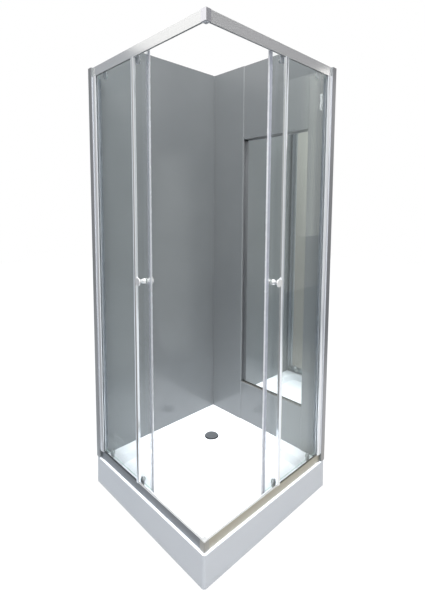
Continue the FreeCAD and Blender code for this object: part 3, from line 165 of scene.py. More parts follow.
class Finish:
    """A material or world made of nodes, with one method that adds any node."""

    # The Mix node's colour sockets go by number, because its other kinds share their names.
    MIX_FIRST, MIX_SECOND, MIX_RESULT = 6, 7, 2

    def __init__(self, name, world=None):
        self.block = world or bpy.data.materials.new(name)
        self.block.use_nodes = True
        self.tree = self.block.node_tree
        self.tree.nodes.clear()
        self.end = self.tree.nodes.new("ShaderNodeOutputWorld" if world else "ShaderNodeOutputMaterial")

    def node(self, kind, settings=None, sockets=None):
        """Adds a node, with its settings first, then its sockets' values or wires. Gives its outputs."""
        made = self.tree.nodes.new("ShaderNode" + kind)
        for name, value in (settings or {}).items():
            setattr(made, name, value)
        for name, value in (sockets or {}).items():
            socket = made.inputs[name]
            if isinstance(value, Wire):
                self.tree.links.new(value.socket, socket)
            elif socket.type == "RGBA" and len(value) == 3:
                socket.default_value = (*value, 1.0)
            else:
                socket.default_value = value
        return Outputs(self, made)

    def mix(self, share, first, second):
        """From the first colour to the second as share goes from 0 to 1."""
        sockets = {"Factor": share, self.MIX_FIRST: first, self.MIX_SECOND: second}
        return self.node("Mix", {"data_type": "RGBA"}, sockets)[self.MIX_RESULT]

    def mix_shaders(self, share, first, second):
        """From the first shader to the second as share goes from 0 to 1."""
        return self.node("MixShader", {}, {0: share, 1: first, 2: second})["Shader"]

    def place(self):
        """Where a point lies on the object, in metres."""
        return self.node("TexCoord")["Object"]

    def along(self, axis, space="Object"):
        """A point's place along an axis: in metres, or with Generated from one side to the other."""
        return self.node("SeparateXYZ", {}, {0: self.node("TexCoord")[space]})[axis]

    def noise(self, scale, detail=3.0, roughness=0.5, place=None):
        """Soft noise from about 0 to 1, with scale as its waves per metre."""
        place = place or self.place()
        sockets = {"Vector": place, "Scale": scale, "Detail": detail, "Roughness": roughness}
        return self.node("TexNoise", {}, sockets)["Fac"]

    def bump(self, height, distance, strength=1.0):
        sockets = {"Height": height, "Distance": distance, "Strength": strength}
        return self.node("Bump", {}, sockets)["Normal"]

    def surface(self, shader):
        """Ends the nodes in a shader, and gives the material or world."""
        self.tree.links.new(shader.socket, self.end.inputs["Surface"])
        return self.block

    def principled(self, sockets):
        """Ends the nodes in a Principled shader with these sockets."""
        return self.surface(self.node("BsdfPrincipled", {}, sockets)["BSDF"])


def seen_directly(finish):
    """1 for rays from the camera, and for those that gloss or glass send on."""
    path = finish.node("LightPath")
    return path["Is Camera Ray"].at_least(path["Is Glossy Ray"]).at_least(path["Is Transmission Ray"])


# The surround shows as white, and lights the cabin with a dimmer, cooler sky.
WHITE = (1.0, 1.0, 1.0)
SKY_TINT = (0.95, 0.975, 1.0)
SKY_HIGH = 0.66
SKY_LOW = 0.27
SKY_FADE = (-0.2, 0.9)
scene.world = bpy.data.worlds.new("studio")
sky = Finish("studio", scene.world)
sky_level = sky.along("Z", "Generated").between(*SKY_FADE) * (SKY_HIGH - SKY_LOW) + SKY_LOW
sky_white = sky.node("Background", {}, {"Color": WHITE, "Strength": 1.0})["Background"]
sky_light = sky.node("Background", {}, {"Color": SKY_TINT, "Strength": sky_level})["Background"]
sky.surface(sky.mix_shaders(seen_directly(sky), sky_light, sky_white))


def stage_sheet(name, corners, shader_block):
    """A flat piece of the studio through the given corners."""
    mesh = bpy.data.meshes.new(name)
    mesh.from_pydata([Vector(corner) for corner in corners], [], [range(len(corners))])
    mesh.materials.append(shader_block)
    sheet = bpy.data.objects.new(name, mesh)
    scene.collection.objects.link(sheet)
    return sheet


# The floor shows as almost white, sheds little light on the cabin, and keeps its shadow.
FLOOR_REACH = 9.0
FLOOR_LEVEL = -0.2 * MM
FLOOR_GREY = (0.13, 0.137, 0.15)
FLOOR_BRIGHTNESS = 1.18
FLOOR_GLOW_SHARE = 0.86
floor_finish = Finish("studio_floor")
floor_matt = floor_finish.node("BsdfDiffuse", {}, {"Color": FLOOR_GREY})["BSDF"]
floor_glow = floor_finish.node("Emission", {}, {"Color": WHITE, "Strength": FLOOR_BRIGHTNESS})["Emission"]
glow_share = seen_directly(floor_finish) * FLOOR_GLOW_SHARE
floor_block = floor_finish.surface(floor_finish.mix_shaders(glow_share, floor_matt, floor_glow))
floor_signs = ((-1, -1), (1, -1), (1, 1), (-1, 1))
floor_corners = [(x * FLOOR_REACH, y * FLOOR_REACH, FLOOR_LEVEL) for x, y in floor_signs]
stage_sheet("studio_floor", floor_corners, floor_block)


def gloss_card(name, corners, start, end=None, along="Z", stretch=(0.0, 1.0)):
    """A card that only reflections can see. Its colour may change along an axis, over a stretch."""
    paint = Finish(name)
    colour = paint.mix(paint.along(along).between(*stretch), start, end or start)
    glow = paint.node("Emission", {}, {"Color": colour, "Strength": 1.0})["Emission"]
    card = stage_sheet(name, corners, paint.surface(glow))
    for ray in ("camera", "diffuse", "transmission", "volume_scatter", "shadow"):
        setattr(card, "visible_" + ray, False)


# The cards' places, in metres. SKIRT is just outside the cabin. The far cards stand like the
# walls of a grey studio: the left one along X at -FAR, the right one along Y at FAR, and the
# back one between them at BACK.
LAYER = 1 * MM
SKIRT = cad_high.x + 8 * MM
SKIRT_REACH = 1.3
NEAR = 0.60
FAR = 3.2
BACK = 5.2
BACK_LEFT = -2.5
WALL_START = -0.9
WALL_REACH = -14.0
RIGHT_START = 1.5
HIGH_START = 2.2
BAND_START = 4.2
BAND_END = 4.9
TALL = 3.4
TALLER = 3.7
CEILING = 6.0
GREY_LEFT = (0.38, 0.395, 0.42)
GREY_RIGHT = (0.66, 0.66, 0.65)
DUSK = (0.36, 0.38, 0.40)


def floor_card(name, corners, *paint, level=LAYER):
    """A card that lies on the floor, or over another such card."""
    gloss_card(name, [(x, y, level) for x, y in corners], *paint)


def upright_card(name, start, end, low, high, *paint):
    """A card that stands on the line between two points of the plan."""
    gloss_card(name, [(*start, low), (*end, low), (*end, high), (*start, high)], *paint)


# The floor beside the skirts, and further out on both sides.
skirt_left = [(-SKIRT_REACH, -SKIRT), (SKIRT, -SKIRT), (NEAR, -NEAR), (-SKIRT_REACH, -NEAR)]
skirt_right = [(SKIRT, -SKIRT), (SKIRT, SKIRT_REACH), (NEAR, SKIRT_REACH), (NEAR, -NEAR)]
floor_left = [(-FLOOR_REACH, -NEAR), (NEAR, -NEAR), (FAR, -FAR), (-FLOOR_REACH, -FAR)]
floor_right = [(BACK_LEFT, RIGHT_START), (FAR, RIGHT_START), (FAR, BACK), (BACK_LEFT, BACK)]
floor_card("card_skirt_left", skirt_left, (0.80, 0.85, 0.90), WHITE, "X", (-0.4, 0.35))
floor_card("card_skirt_right", skirt_right, (1.0, 0.97, 0.91))
floor_card("card_floor_left", floor_left, (0.42, 0.44, 0.47))
floor_card("card_floor_right", floor_right, (0.9, 0.9, 0.88), DUSK, "Y", (RIGHT_START, 2.4))

# A darker floor and wall that only the mirror shows, in front of the others.
mirror_floor = [(-0.375, -NEAR), (0.55, -NEAR), (WALL_START, -FAR), (-4.5, -FAR), (-1.81, -1.5)]
floor_card("card_floor_mirror", mirror_floor, (0.29, 0.28, 0.265), level=2 * LAYER)
upright_card("card_far_mirror", (-3.5, LAYER - FAR), (WALL_START, LAYER - FAR), 0.0, TALL,
             (0.28, 0.27, 0.255), (0.56, 0.545, 0.51), "Z", (0.0, TALL))

# The far walls, which the panes and rails show. The right one has a pale band, and a dark card
# stands high up in front of it.
upright_card("card_far_left", (WALL_REACH, -FAR), (WALL_START, -FAR), 0.0, TALL,
             (0.95, 0.97, 1.0), GREY_LEFT, "X", (WALL_REACH, -4.9))
upright_card("card_far_right", (FAR, WALL_START), (FAR, BACK), 0.0, TALL,
             GREY_RIGHT, DUSK, "Y", (4.8, BACK))
upright_card("card_far_right_top", (FAR, HIGH_START), (FAR, BACK), TALL, TALLER, GREY_RIGHT)
upright_card("card_pale_band", (FAR - LAYER / 2, BAND_START), (FAR - LAYER / 2, BAND_END), 0.9, TALLER,
             GREY_RIGHT, (1.6, 1.56, 1.46), "Y", (BAND_START, 4.8))
upright_card("card_back_right", (BACK_LEFT, BACK), (FAR, BACK), 0.0, 2.4, DUSK)
upright_card("card_high_right", (0.8, HIGH_START), (5.5, HIGH_START), 2.69, CEILING, (0.23, 0.23, 0.24))

# A white floor for the left profile, a bright spot for the right pane, and a dark upper left.
profile_floor = [(-0.70, -0.57), (-3.07, -1.79), (-FLOOR_REACH, -1.79), (-FLOOR_REACH, -0.57)]
floor_card("card_floor_profile", profile_floor, (0.92, 0.95, 1.0), level=2 * LAYER)
upright_card("card_bright_spot", (FAR - LAYER, 4.80), (FAR - LAYER, 4.88), 3.05, 3.33, (7.0, 7.0, 7.0))
high_left = [(-FLOOR_REACH, TALL), (-2.9, TALL), (-4.196, 3.85), (-4.68, 4.02), (-6.4, CEILING),
             (-FLOOR_REACH, CEILING)]
gloss_card("card_high_left", [(x, -FAR, z) for x, z in high_left], (0.30, 0.32, 0.35))


def soft_lamp(name, place, aim, size, watts, colour, mirrored=False):
    """A round lamp that shines from its place towards its aim. Gloss shows it if it is mirrored."""
    lamp = bpy.data.objects.new(name, bpy.data.lights.new(name, "AREA"))
    lamp.data.shape = "DISK"
    lamp.data.size = size
    lamp.data.energy = watts
    lamp.data.color = colour
    lamp.location = place
    lamp.rotation_euler = (Vector(aim) - Vector(place)).to_track_quat("-Z", "Y").to_euler()
    lamp.visible_camera = False
    lamp.visible_glossy = mirrored
    scene.collection.objects.link(lamp)


soft_lamp("lamp_above", place=(0.3, -0.3, 4.3), aim=(0.0, 0.0, 0.0), size=2.4, watts=50,
          colour=(1.0, 0.99, 0.97))
soft_lamp("lamp_right", place=(3.2, -0.8, 2.4), aim=(0.0, 0.0, 1.0), size=1.8, watts=18,
          colour=(1.0, 0.985, 0.96))
soft_lamp("lamp_entry", place=(1.0, -1.0, 3.4), aim=(-0.3, 0.3, 0.9), size=1.0, watts=26,
          colour=(1.0, 0.995, 0.985), mirrored=True)

SUN_STRENGTH = 5.1
SUN_SPREAD = math.radians(9)
SUN_LEAN = math.radians(3)
sun = bpy.data.objects.new("ceiling_light", bpy.data.lights.new("ceiling_light", "SUN"))
sun.data.energy = SUN_STRENGTH
sun.data.angle = SUN_SPREAD
sun.data.color = (1.0, 1.0, 0.99)
sun.rotation_euler = (SUN_LEAN, SUN_LEAN, 0.0)
sun.visible_glossy = False
scene.collection.objects.link(sun)


# Tray
# One vacuum-formed sheet of white acrylic, glossy, with soft edges, a sunk basin and a skirt
# on the two entry sides. It carries the whole cabin.

# Points within WELD are one, faces that turn less than FLAT are one, and edges that turn more
# than CREASE are sharp.
WELD = 0.002 * MM
FLAT = math.radians(0.6)
CREASE = math.radians(28)
MOST_CORNERS = 4
AREA_WEIGHT = 100
SCUFF_TOP = 26 * MM
SCUFF_FOOT = 2 * MM


def rounded(form, edges, radius, steps):
    bmesh.ops.bevel(form, geom=edges, offset=radius, offset_type="OFFSET", segments=steps, profile=0.5,
                    affect="EDGES", clamp_overlap=True)


def clean_mesh(name, form):
    """A mesh with the form's points and faces and nothing else, smooth except at creases."""
    form.verts.index_update()
    places = [vertex.co.copy() for vertex in form.verts]
    faces = [[vertex.index for vertex in face.verts] for face in form.faces]
    form.free()
    mesh = bpy.data.meshes.new(name + "_form")
    mesh.from_pydata(places, [], faces)
    mesh.shade_smooth()
    mesh.set_sharp_from_angle(angle=CREASE)
    return mesh


def softened(node, edge, steps):
    """A clean mesh with the CAD node's form, its sharp edges rounded by edge."""
    form = bmesh.new()
    form.from_mesh(frame["nodes"][node].data)
    bmesh.ops.remove_doubles(form, verts=form.verts, dist=WELD)
    bmesh.ops.dissolve_limit(form, angle_limit=FLAT, verts=form.verts, edges=form.edges)
    # A face with many corners may go round a hole, and rounding its edges would fold it.
    wide = [face for face in form.faces if len(face.verts) > MOST_CORNERS]
    bmesh.ops.triangulate(form, faces=wide)
    if edge:
        sharp = [e for e in form.edges if e.is_manifold and e.calc_face_angle(0.0) > CREASE]
        rounded(form, sharp, edge, steps)
    return clean_mesh(node, form)


def new_piece(name, mesh, finish, carrier):
    """Links a mesh as a piece that moves with the body of the CAD node that carries it."""
    body = frame["nodes"][carrier]["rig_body"]
    mesh.materials.append(finish)
    piece = bpy.data.objects.new(name, mesh)
    scene.collection.objects.link(piece)
    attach(piece, body)
    return piece


def dressed(node, finish, edge, steps=2):
    """The CAD node's form with softened edges, as a piece in its finish that stands for the node."""
    piece = new_piece(node + "_piece", softened(node, edge, steps), finish, node)
    # The large faces lead the normals, so that they look flat right up to their rounded edges.
    even = piece.modifiers.new("even_normals", "WEIGHTED_NORMAL")
    even.keep_sharp = True
    even.weight = AREA_WEIGHT
    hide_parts(node)
    for row in frame["record"]["subparts"]:
        row["node"] == node
    return piece


def acrylic():
    """Glossy white, faintly clouded, with scuffs that fade out above the floor."""
    made = Finish("tray_acrylic")
    near_floor = made.along("Z").between(SCUFF_TOP, SCUFF_FOOT)
    cloud = made.noise(3.0, detail=4.0)
    scuff = near_floor * made.noise(60.0, detail=5.0, roughness=0.7).between(0.35, 0.75)
    white = made.mix(cloud.between(0.3, 0.7), (0.735, 0.77, 0.82), (0.765, 0.795, 0.84))
    wave = made.noise(7.0, detail=1.0) + made.noise(380.0, detail=2.0) * 0.02
    return made.principled({
        "Base Color": made.mix(scuff * 0.5, white, (0.52, 0.53, 0.54)),
        "Roughness": cloud * 0.08 + 0.12 + scuff * 0.35,
        "Specular IOR Level": 0.5,
        "Coat Weight": 0.12,
        "Coat Roughness": 0.06,
        "Normal": made.bump(wave, distance=1.2 * MM, strength=0.5),
    })


dressed("tray", acrylic(), edge=0.0)


# Support under the tray
# A raw particle board bonded under the basin, a welded frame of painted square tube, and five
# zinc-plated bolts standing in black plastic pads.
def particle_board():
    made = Finish("particle_board")
    chips = made.node("TexVoronoi", {}, {"Vector": made.place(), "Scale": 220.0, "Randomness": 1.0})
    tone = made.mix(chips["Color"], (0.30, 0.20, 0.11), (0.62, 0.48, 0.30))
    return made.principled({
        "Base Color": made.mix(made.noise(900.0, detail=2.0), tone, (0.50, 0.38, 0.24)),
        "Roughness": 0.85,
        "Normal": made.bump(chips["Distance"], distance=0.3 * MM),
    })


def painted_steel():
    made = Finish("painted_steel")
    speck = made.noise(500.0, detail=2.0)
    wear = made.noise(35.0, detail=6.0, roughness=0.7).between(0.62, 0.72)
    return made.principled({
        "Base Color": made.mix(wear * 0.6, (0.16, 0.17, 0.185), (0.32, 0.31, 0.30)),
        "Metallic": wear * 0.8,
        "Roughness": speck * 0.15 + 0.42,
        "Normal": made.bump(speck, distance=0.08 * MM),
    })


def zinc():
    made = Finish("zinc_plated_steel")
    spangle = made.noise(260.0)
    return made.principled({
        "Base Color": made.mix(spangle, (0.56, 0.57, 0.59), (0.74, 0.74, 0.72)),
        "Metallic": 1.0,
        "Roughness": spangle * 0.2 + 0.22,
    })


def moulded(name, colour, rough):
    """Injection-moulded plastic or rubber with a faint grain."""
    made = Finish(name)
    grain = made.noise(700.0)
    shade = tuple(channel * 0.9 for channel in colour)
    return made.principled({
        "Base Color": made.mix(made.noise(24.0, detail=4.0), shade, colour),
        "Roughness": grain * 0.06 + rough,
        "Normal": made.bump(grain, distance=0.05 * MM, strength=0.5),
    })


zinc_finish = zinc()
dressed("base_board", particle_board(), edge=0.4 * MM)
dressed("tray_frame", painted_steel(), edge=1.2 * MM, steps=3)
dressed("foot_bolts", zinc_finish, edge=0.5 * MM)
dressed("foot_pads", moulded("black_plastic", (0.022, 0.022, 0.024), rough=0.5), edge=0.8 * MM)


# Waste
# A chrome ring screwed through the basin floor against a rubber washer, the white trap under it,
# and a satin grey cover that stands on three legs over the ring.
def chrome():
    made = Finish("chrome_plating")
    haze = made.noise(90.0, detail=4.0)
    return made.principled({
        "Base Color": made.mix(haze, (0.80, 0.815, 0.835), (0.86, 0.865, 0.87)),
        "Metallic": 1.0,
        "Roughness": haze.between(0.4, 0.8) * 0.06 + 0.035,
    })


chrome_finish = chrome()
rubber_finish = moulded("black_rubber", (0.03, 0.03, 0.032), rough=0.7)
trap_white = moulded("white_trap_plastic", (0.80, 0.80, 0.77), rough=0.4)
cover_grey = moulded("cover_grey_plastic", (0.080, 0.087, 0.095), rough=0.32)
dressed("waste_ring", chrome_finish, edge=0.3 * MM)
dressed("waste_washer", rubber_finish, edge=0.5 * MM)
dressed("waste_trap", trap_white, edge=0.8 * MM)
dressed("waste_cover", cover_grey, edge=0.4 * MM)


# Wall panels and corner post
# Silver-grey moulded panels, glossy inside, with their stiffening ribs behind. They meet in a
# square aluminium post in the back corner.
def panel_grey():
    """Glossy grey whose surface waves a little, with the fine unevenness of moulded sheet."""
    made = Finish("panel_grey")
    place = made.place()
    cloud = made.noise(1.6, place=place)
    orange_peel = made.noise(420.0, detail=2.0, place=place)
    wave = made.noise(5.0, detail=2.0, roughness=0.4, place=place)
    return made.principled({
        "Base Color": made.mix(cloud.between(0.3, 0.7), (0.225, 0.239, 0.249), (0.249, 0.264, 0.273)),
        "Roughness": cloud * 0.10 + 0.16,
        "Specular IOR Level": 0.5,
        "Coat Weight": 0.25,
        "Coat Roughness": 0.10,
        "Normal": made.bump(wave + orange_peel * 0.015, distance=1.6 * MM, strength=0.35),
    })


# Waves per metre of the lines that drawing leaves in an extrusion.
LINES_LENGTHWAYS = 4.0
LINES_CROSSWAYS = 900.0


def aluminium(name, colour, rough, along, metal=1.0):
    """Anodised extrusion, with fine drawing lines that follow the axis along."""
    made = Finish(name)
    stretch = tuple(LINES_LENGTHWAYS if axis == along else LINES_CROSSWAYS for axis in "XYZ")
    lines = made.noise(1.0, detail=2.0, roughness=0.6, place=made.place() * stretch)
    cloud = made.noise(9.0)
    bright = tuple(min(1.0, channel * 1.08) for channel in colour)
    return made.principled({
        "Base Color": made.mix(lines * 0.6 + cloud * 0.4, colour, bright),
        "Metallic": metal,
        "Roughness": lines * 0.10 + rough,
        "Normal": made.bump(lines, distance=0.02 * MM, strength=0.5),
    })


panel_finish = panel_grey()
post_silver = aluminium("silver_upright", (0.50, 0.51, 0.52), rough=0.28, along="Z")
for node in ("left_wall_panel", "right_wall_panel"):
    dressed(node, panel_finish, edge=1.2 * MM, steps=3)
dressed("corner_post", post_silver, edge=0.5 * MM)


# Mirror
# A sheet of silvered float glass with its edges ground and polished, bonded in the sunk column
# of the right panel.
def silvered():
    made = Finish("silvered_glass")
    haze = made.noise(2.0)
    return made.principled({
        "Base Color": made.mix(haze, (0.80, 0.83, 0.82), (0.84, 0.86, 0.855)),
        "Metallic": 1.0,
        "Roughness": haze * 0.012 + 0.004,
    })


dressed("mirror", silvered(), edge=1.0 * MM)


# Mirror edging
# Strips line the recess at the left, the top and the bottom and lap over the glass; their dark
# tones are painted shade of the recess. A pale bead closes the right side; its pale tone is a
# painted highlight. All are glued in.
EDGING = 1.4 * MM
EDGING_REACH = 10.5 * MM
EDGING_SEAT = 0.2 * MM
LAP = 1.2 * MM
LEFT_LAP_WIDTH = 22 * MM
HIGH_LAP_WIDTH = 9 * MM
LOW_LAP_WIDTH = 8 * MM
STRIP_EDGE = 0.2 * MM


def strip(name, low, high, finish, carrier):
    """A strip or plate between two corners, with rounded edges, fixed to the node that carries it."""
    low, high = Vector(low), Vector(high)
    form = bmesh.new()
    bmesh.ops.create_cube(form, size=1.0)
    for vertex in form.verts:
        vertex.co = (low + high) / 2 + vertex.co * (high - low)
    rounded(form, form.edges[:], STRIP_EDGE, steps=2)
    return new_piece(name, clean_mesh(name, form), finish, carrier)


glass_low, glass_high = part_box("mirror")
front, back = glass_low.y - EDGING_REACH, glass_high.y - EDGING_SEAT
lap_front, lap_back = glass_low.y - LAP, glass_low.y
left, right = glass_low.x - EDGING, glass_high.x + EDGING
foot, head = glass_low.z, glass_high.z + EDGING
# The rubber's tone differs from side to side as painted shade: darkest at the bottom, lighter at the
# left and lightest at the top. The bead's pale tone is a painted highlight.
edging_painted_shade = moulded("edging_rubber_painted_shade", (0.16, 0.167, 0.175), rough=0.5)
high_edging_painted_shade = moulded("high_edging_rubber_painted_shade", (0.33, 0.34, 0.35), rough=0.5)
low_edging_painted_shade = moulded("low_edging_rubber_painted_shade", (0.105, 0.105, 0.10), rough=0.5)
bead = moulded("pale_bead_painted_highlight", (0.72, 0.70, 0.64), rough=0.4)
edging_strips_painted_shade_and_highlight = {
    "left": ((left, front, foot), (glass_low.x, back, head), edging_painted_shade),
    "left_lap": ((glass_low.x, lap_front, foot), (glass_low.x + LEFT_LAP_WIDTH, lap_back, head), edging_painted_shade),
    "high": ((glass_low.x, front, glass_high.z), (glass_high.x, back, head), high_edging_painted_shade),
    "high_lap": ((glass_low.x, lap_front, glass_high.z - HIGH_LAP_WIDTH),
                 (glass_high.x, lap_back, glass_high.z), high_edging_painted_shade),
    "low": ((left, front, foot - EDGING), (right, back, foot), low_edging_painted_shade),
    "low_lap": ((glass_low.x, lap_front, foot),
                (glass_high.x, lap_back, foot + LOW_LAP_WIDTH), low_edging_painted_shade),
    "bead": ((glass_high.x, front, foot), (right, back, head), bead),
}
for place, (low_corner, high_corner, finish) in edging_strips_painted_shade_and_highlight.items():
    strip("mirror_" + place, low_corner, high_corner, finish, "mirror")


# Wall and adjusting profiles
# An open anodised channel is screwed along each panel's end. A bright polished profile slides in
# it to take up an uneven wall, and grips the fixed pane.
# One extrusion in two tones: painted shade makes the right channel darker than the left.
CHANNEL_PAINTED_SHADE = {"left": (0.37, 0.38, 0.39), "right": (0.32, 0.325, 0.34)}
bright_upright = aluminium("bright_upright", (0.83, 0.85, 0.885), rough=0.08, along="Z", metal=0.64)
for side, tone in CHANNEL_PAINTED_SHADE.items():
    dull_upright = aluminium("dull_upright_" + side, tone, rough=0.30, along="Z")
    dressed(side + "_wall_profile", dull_upright, edge=0.3 * MM)
    dressed(side + "_adjusting_profile", bright_upright, edge=0.8 * MM, steps=3)


# Rails and corner connectors
# Anodised extrusions with a slot for the fixed pane and a rib for the wheels, the upper ones
# polished and the lower ones satin. Their tones are painted reflections: near white above, dark
# blue-grey low on the left and tan low on the right. Moulded connectors join them at the entry corner.
RAIL_PAINTED_REFLECTIONS = {
    "left_top": (0.90, 0.90, 0.89),
    "left_bottom": (0.215, 0.23, 0.25),
    "right_top": (0.88, 0.88, 0.88),
    "right_bottom": (0.40, 0.385, 0.33),
}
POLISHED = 0.08
SATIN = 0.34
LACQUERED_METAL = 0.74
for place, tone in RAIL_PAINTED_REFLECTIONS.items():
    rough = POLISHED if "top" in place else SATIN
    length_axis = "X" if place.startswith("left") else "Y"
    finish = aluminium("silver_rail_painted_reflection_" + place, tone, rough, length_axis, LACQUERED_METAL)
    dressed(place + "_rail", finish, edge=0.4 * MM)
# The connectors' tones are painted reflections like the rails': dark at the bottom, near white at the
# top.
low_lacquer_painted_reflection = aluminium("corner_lacquer_bottom_painted_reflection", (0.36, 0.355, 0.34), 0.30, "Z", LACQUERED_METAL)
high_lacquer_painted_reflection = aluminium("corner_lacquer_top_painted_reflection", (0.84, 0.83, 0.87), POLISHED, "Z", metal=0.88)
for level, lacquer in (("bottom", low_lacquer_painted_reflection), ("top", high_lacquer_painted_reflection)):
    dressed(level + "_corner_connector", lacquer, edge=0.5 * MM)


# Slot strips and corner plates
# Grey strips lie in the rails' pane slots where the doorway is, as painted shade that stands in for
# the slots' shade, and small plates close the corner connectors between them. The top plate's pale
# tone is painted light against the shade on its underside. They lie just inside the rails' faces.
STRIP_THICK = 1.2 * MM
SUNK = 0.2 * MM
SLOT_ROOM = 0.2 * MM
END_GAP = 0.1 * MM
PLATE_INSET = 0.5 * MM


def on_the_right(low, high):
    """A box of the left entry side, mirrored to the right one."""
    return (-high[1], -high[0], low[2]), (-low[1], -low[0], high[2])


# The strips' grey is painted shade, and the top plate's pale tone is painted light.
strip_grey_painted_shade = moulded("strip_grey_plastic_painted_shade", (0.36, 0.365, 0.37), rough=0.45)
plate_pale_painted_light = moulded("pale_plate_plastic_painted_light", (0.80, 0.80, 0.82), rough=0.4)
plate_plastic = {"bottom": strip_grey_painted_shade, "top": plate_pale_painted_light}
pane_low, pane_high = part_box("left_fixed_glass")
rail_low, rail_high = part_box("left_bottom_rail")
slot_front, slot_back = pane_low.y - SLOT_ROOM, pane_high.y + SLOT_ROOM
doorway_start, doorway_end = pane_high.x + END_GAP, rail_high.x - END_GAP
plate_inner, plate_outer = rail_high.x, -rail_low.y - PLATE_INSET
top_rail_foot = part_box("left_top_rail")[0].z
strip_feet = {"bottom": rail_high.z - SUNK - STRIP_THICK, "top": top_rail_foot + SUNK}
for level, foot in strip_feet.items():
    head = foot + STRIP_THICK
    carrier = "left_%s_rail" % level
    left_slot = (doorway_start, slot_front, foot), (doorway_end, slot_back, head)
    plate = (plate_inner, -plate_outer, foot), (plate_outer, -plate_inner, head)
    strip("left_%s_slot_strip" % level, *left_slot, strip_grey_painted_shade, carrier)
    strip("right_%s_slot_strip" % level, *on_the_right(*left_slot), strip_grey_painted_shade, carrier)
    strip(level + "_corner_plate", *plate, plate_plastic[level], carrier)


# Rail fittings
# Grey plastic blocks plug the rails' wall ends, small zinc-plated screws hold the frame together,
# and black rubber stops end the doors' travel.
block_grey = moulded("block_grey_plastic", (0.30, 0.32, 0.33), rough=0.4)
dressed("rail_end_blocks", block_grey, edge=0.5 * MM)
dressed("frame_screws", zinc_finish, edge=0.2 * MM)
dressed("door_stops", rubber_finish, edge=0.8 * MM)


# Panes
# Clear toughened glass, 5 mm thick, with polished edges that look pale green. The fixed panes sit
# in soft gaskets in the profiles; the door panes hang on their rollers.
GLASS_TINT = (0.988, 0.995, 0.994)
FACE_GLOSS = 0.026
GLANCE_GLOSS = 0.52
GLANCE_POWER = 5.0
FACE_NORMAL = 0.9


def clear_glass():
    """Clear with faint smears. It mirrors little when seen square on, and more at a glance."""
    made = Finish("clear_glass")
    smear = made.noise(4.0, detail=5.0, roughness=0.6).between(0.45, 0.8)
    through = made.node("BsdfTransparent", {}, {"Color": GLASS_TINT})["BSDF"]
    sockets = {"Base Color": (0.9, 0.95, 0.95), "Metallic": 1.0, "Roughness": smear * 0.03 + 0.01}
    gloss = made.node("BsdfPrincipled", {}, sockets)["BSDF"]
    glancing = made.node("LayerWeight", {}, {"Blend": 0.5})["Facing"]
    share = glancing ** GLANCE_POWER * GLANCE_GLOSS + FACE_GLOSS
    return made.surface(made.mix_shaders(share, through, gloss))


def glass_edge():
    made = Finish("glass_edge")
    ripple = made.noise(120.0, detail=2.0)
    return made.principled({
        "Base Color": made.mix(ripple, (0.42, 0.60, 0.56), (0.60, 0.76, 0.72)),
        "Roughness": 0.12,
        "Alpha": 0.75,
        "Specular IOR Level": 0.6,
    })


clear_finish = clear_glass()
edge_finish = glass_edge()


def pane(node, across):
    """A pane in two finishes: clear faces, square to the axis numbered across, and a green edge."""
    piece = dressed(node, clear_finish, edge=0.6 * MM, steps=1)
    piece.data.materials.append(edge_finish)
    for face in piece.data.polygons:
        face.material_index = 0 if abs(face.normal[across]) > FACE_NORMAL else 1


for side, across in (("left", 1), ("right", 0)):
    pane(side + "_fixed_glass", across)
    pane(side + "_door_glass", across)


# Stiles, gaskets and seals
# A bright profile caps each fixed pane's free edge. The door's soft clear seals clip over its
# edges: a magnet nose cut at 45 degrees in front, a fin behind.
def soft_clear(name, colour, solid, nose=None):
    """Soft clear plastic. With a nose, which is an axis and two shares of the piece's width, it
    turns solid white from the first share to the second: a painted highlight along the seal's nose."""
    made = Finish(name)
    cloud = made.noise(30.0)
    pale = tuple(min(1.0, channel * 1.06) for channel in colour)
    tone = made.mix(cloud, colour, pale)
    filled = cloud * 0.02 + solid
    if nose:
        axis, inner, outer = nose
        share = made.along(axis, "Generated").between(inner, outer)
        tone = made.mix(share, tone, (0.95, 0.96, 1.0))
        filled = share * (0.97 - solid) + solid
    return made.principled({
        "Base Color": tone,
        "Roughness": cloud * 0.1 + 0.22,
        "Alpha": filled,
        "Specular IOR Level": 0.5,
        "Coat Weight": 0.2,
    })


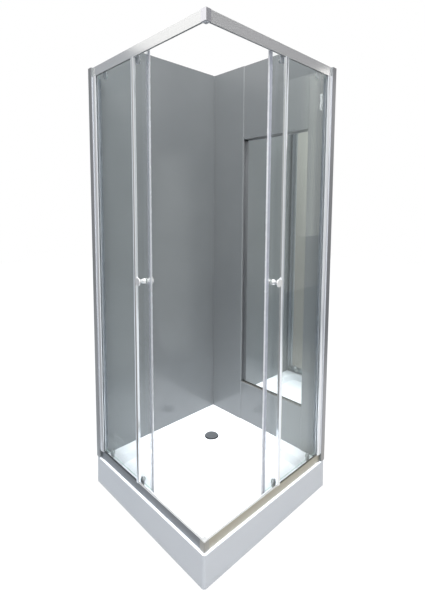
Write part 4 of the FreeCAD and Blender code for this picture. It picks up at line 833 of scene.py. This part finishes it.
# The solid white band along each leading seal's nose is a painted highlight.
NOSE_HIGHLIGHTS = {"left": ("X", 0.5, 0.72), "right": ("Y", 0.5, 0.28)}
SOLID_SHARES = {"left": 0.22, "right": 0.6}
fin_finish = soft_clear("clear_fin", (0.74, 0.78, 0.86), solid=0.5)
gasket_finish = soft_clear("clear_gasket", (0.66, 0.70, 0.74), solid=0.7)
stile_bright = aluminium("stile_bright", (0.80, 0.83, 0.87), rough=0.10, along="Z")
dressed("glass_gaskets", gasket_finish, edge=0.2 * MM)
for side in ("left", "right"):
    seal_finish = soft_clear("clear_seal_painted_highlight_" + side, (0.66, 0.68, 0.78), SOLID_SHARES[side], NOSE_HIGHLIGHTS[side])
    dressed(side + "_fixed_stile", stile_bright, edge=0.4 * MM)
    dressed(side + "_leading_seal", seal_finish, edge=0.3 * MM)
    dressed(side + "_trailing_seal", fin_finish, edge=0.3 * MM)


# Knobs
# Turned and chromed hourglass knobs, one outside and one inside each door. The inner one's stud
# goes through a hole in the pane and screws into the outer one.
def satin_chrome():
    made = Finish("satin_chrome")
    haze = made.noise(140.0)
    return made.principled({
        "Base Color": made.mix(haze, (0.93, 0.935, 0.94), (0.97, 0.97, 0.97)),
        "Metallic": 0.62,
        "Roughness": haze * 0.05 + 0.09,
        "Coat Weight": 0.6,
    })


knob_finish = satin_chrome()
for side in ("left", "right"):
    dressed(side + "_outer_knob", knob_finish, edge=0.4 * MM)
    dressed(side + "_inner_knob", knob_finish, edge=0.4 * MM)


# Rollers
# White nylon wheels with a groove for the rib. The upper ones turn on pins in plates screwed to
# the pane, the lower ones on sprung plates that slide in moulded housings.
# The hangers' pale grey is partly their own colour and partly painted light, raised against the shade
# they sit in under the rails.
hanger_grey_painted_light = moulded("hanger_grey_plastic_painted_light", (0.74, 0.76, 0.79), rough=0.3)
roller_grey = moulded("roller_grey_plastic", (0.42, 0.45, 0.47), rough=0.34)
nylon = moulded("white_nylon", (0.80, 0.80, 0.76), rough=0.38)
for side in ("left", "right"):
    dressed(side + "_hangers", hanger_grey_painted_light, edge=0.4 * MM)
    dressed(side + "_housings", roller_grey, edge=0.3 * MM)
    dressed(side + "_roller_screws", chrome_finish, edge=0.3 * MM)
    for end in ("front", "rear"):
        dressed("%s_%s_carrier" % (side, end), roller_grey, edge=0.3 * MM)
        for level in ("upper", "lower"):
            dressed("%s_%s_%s_wheel" % (side, level, end), nylon, edge=0.0)
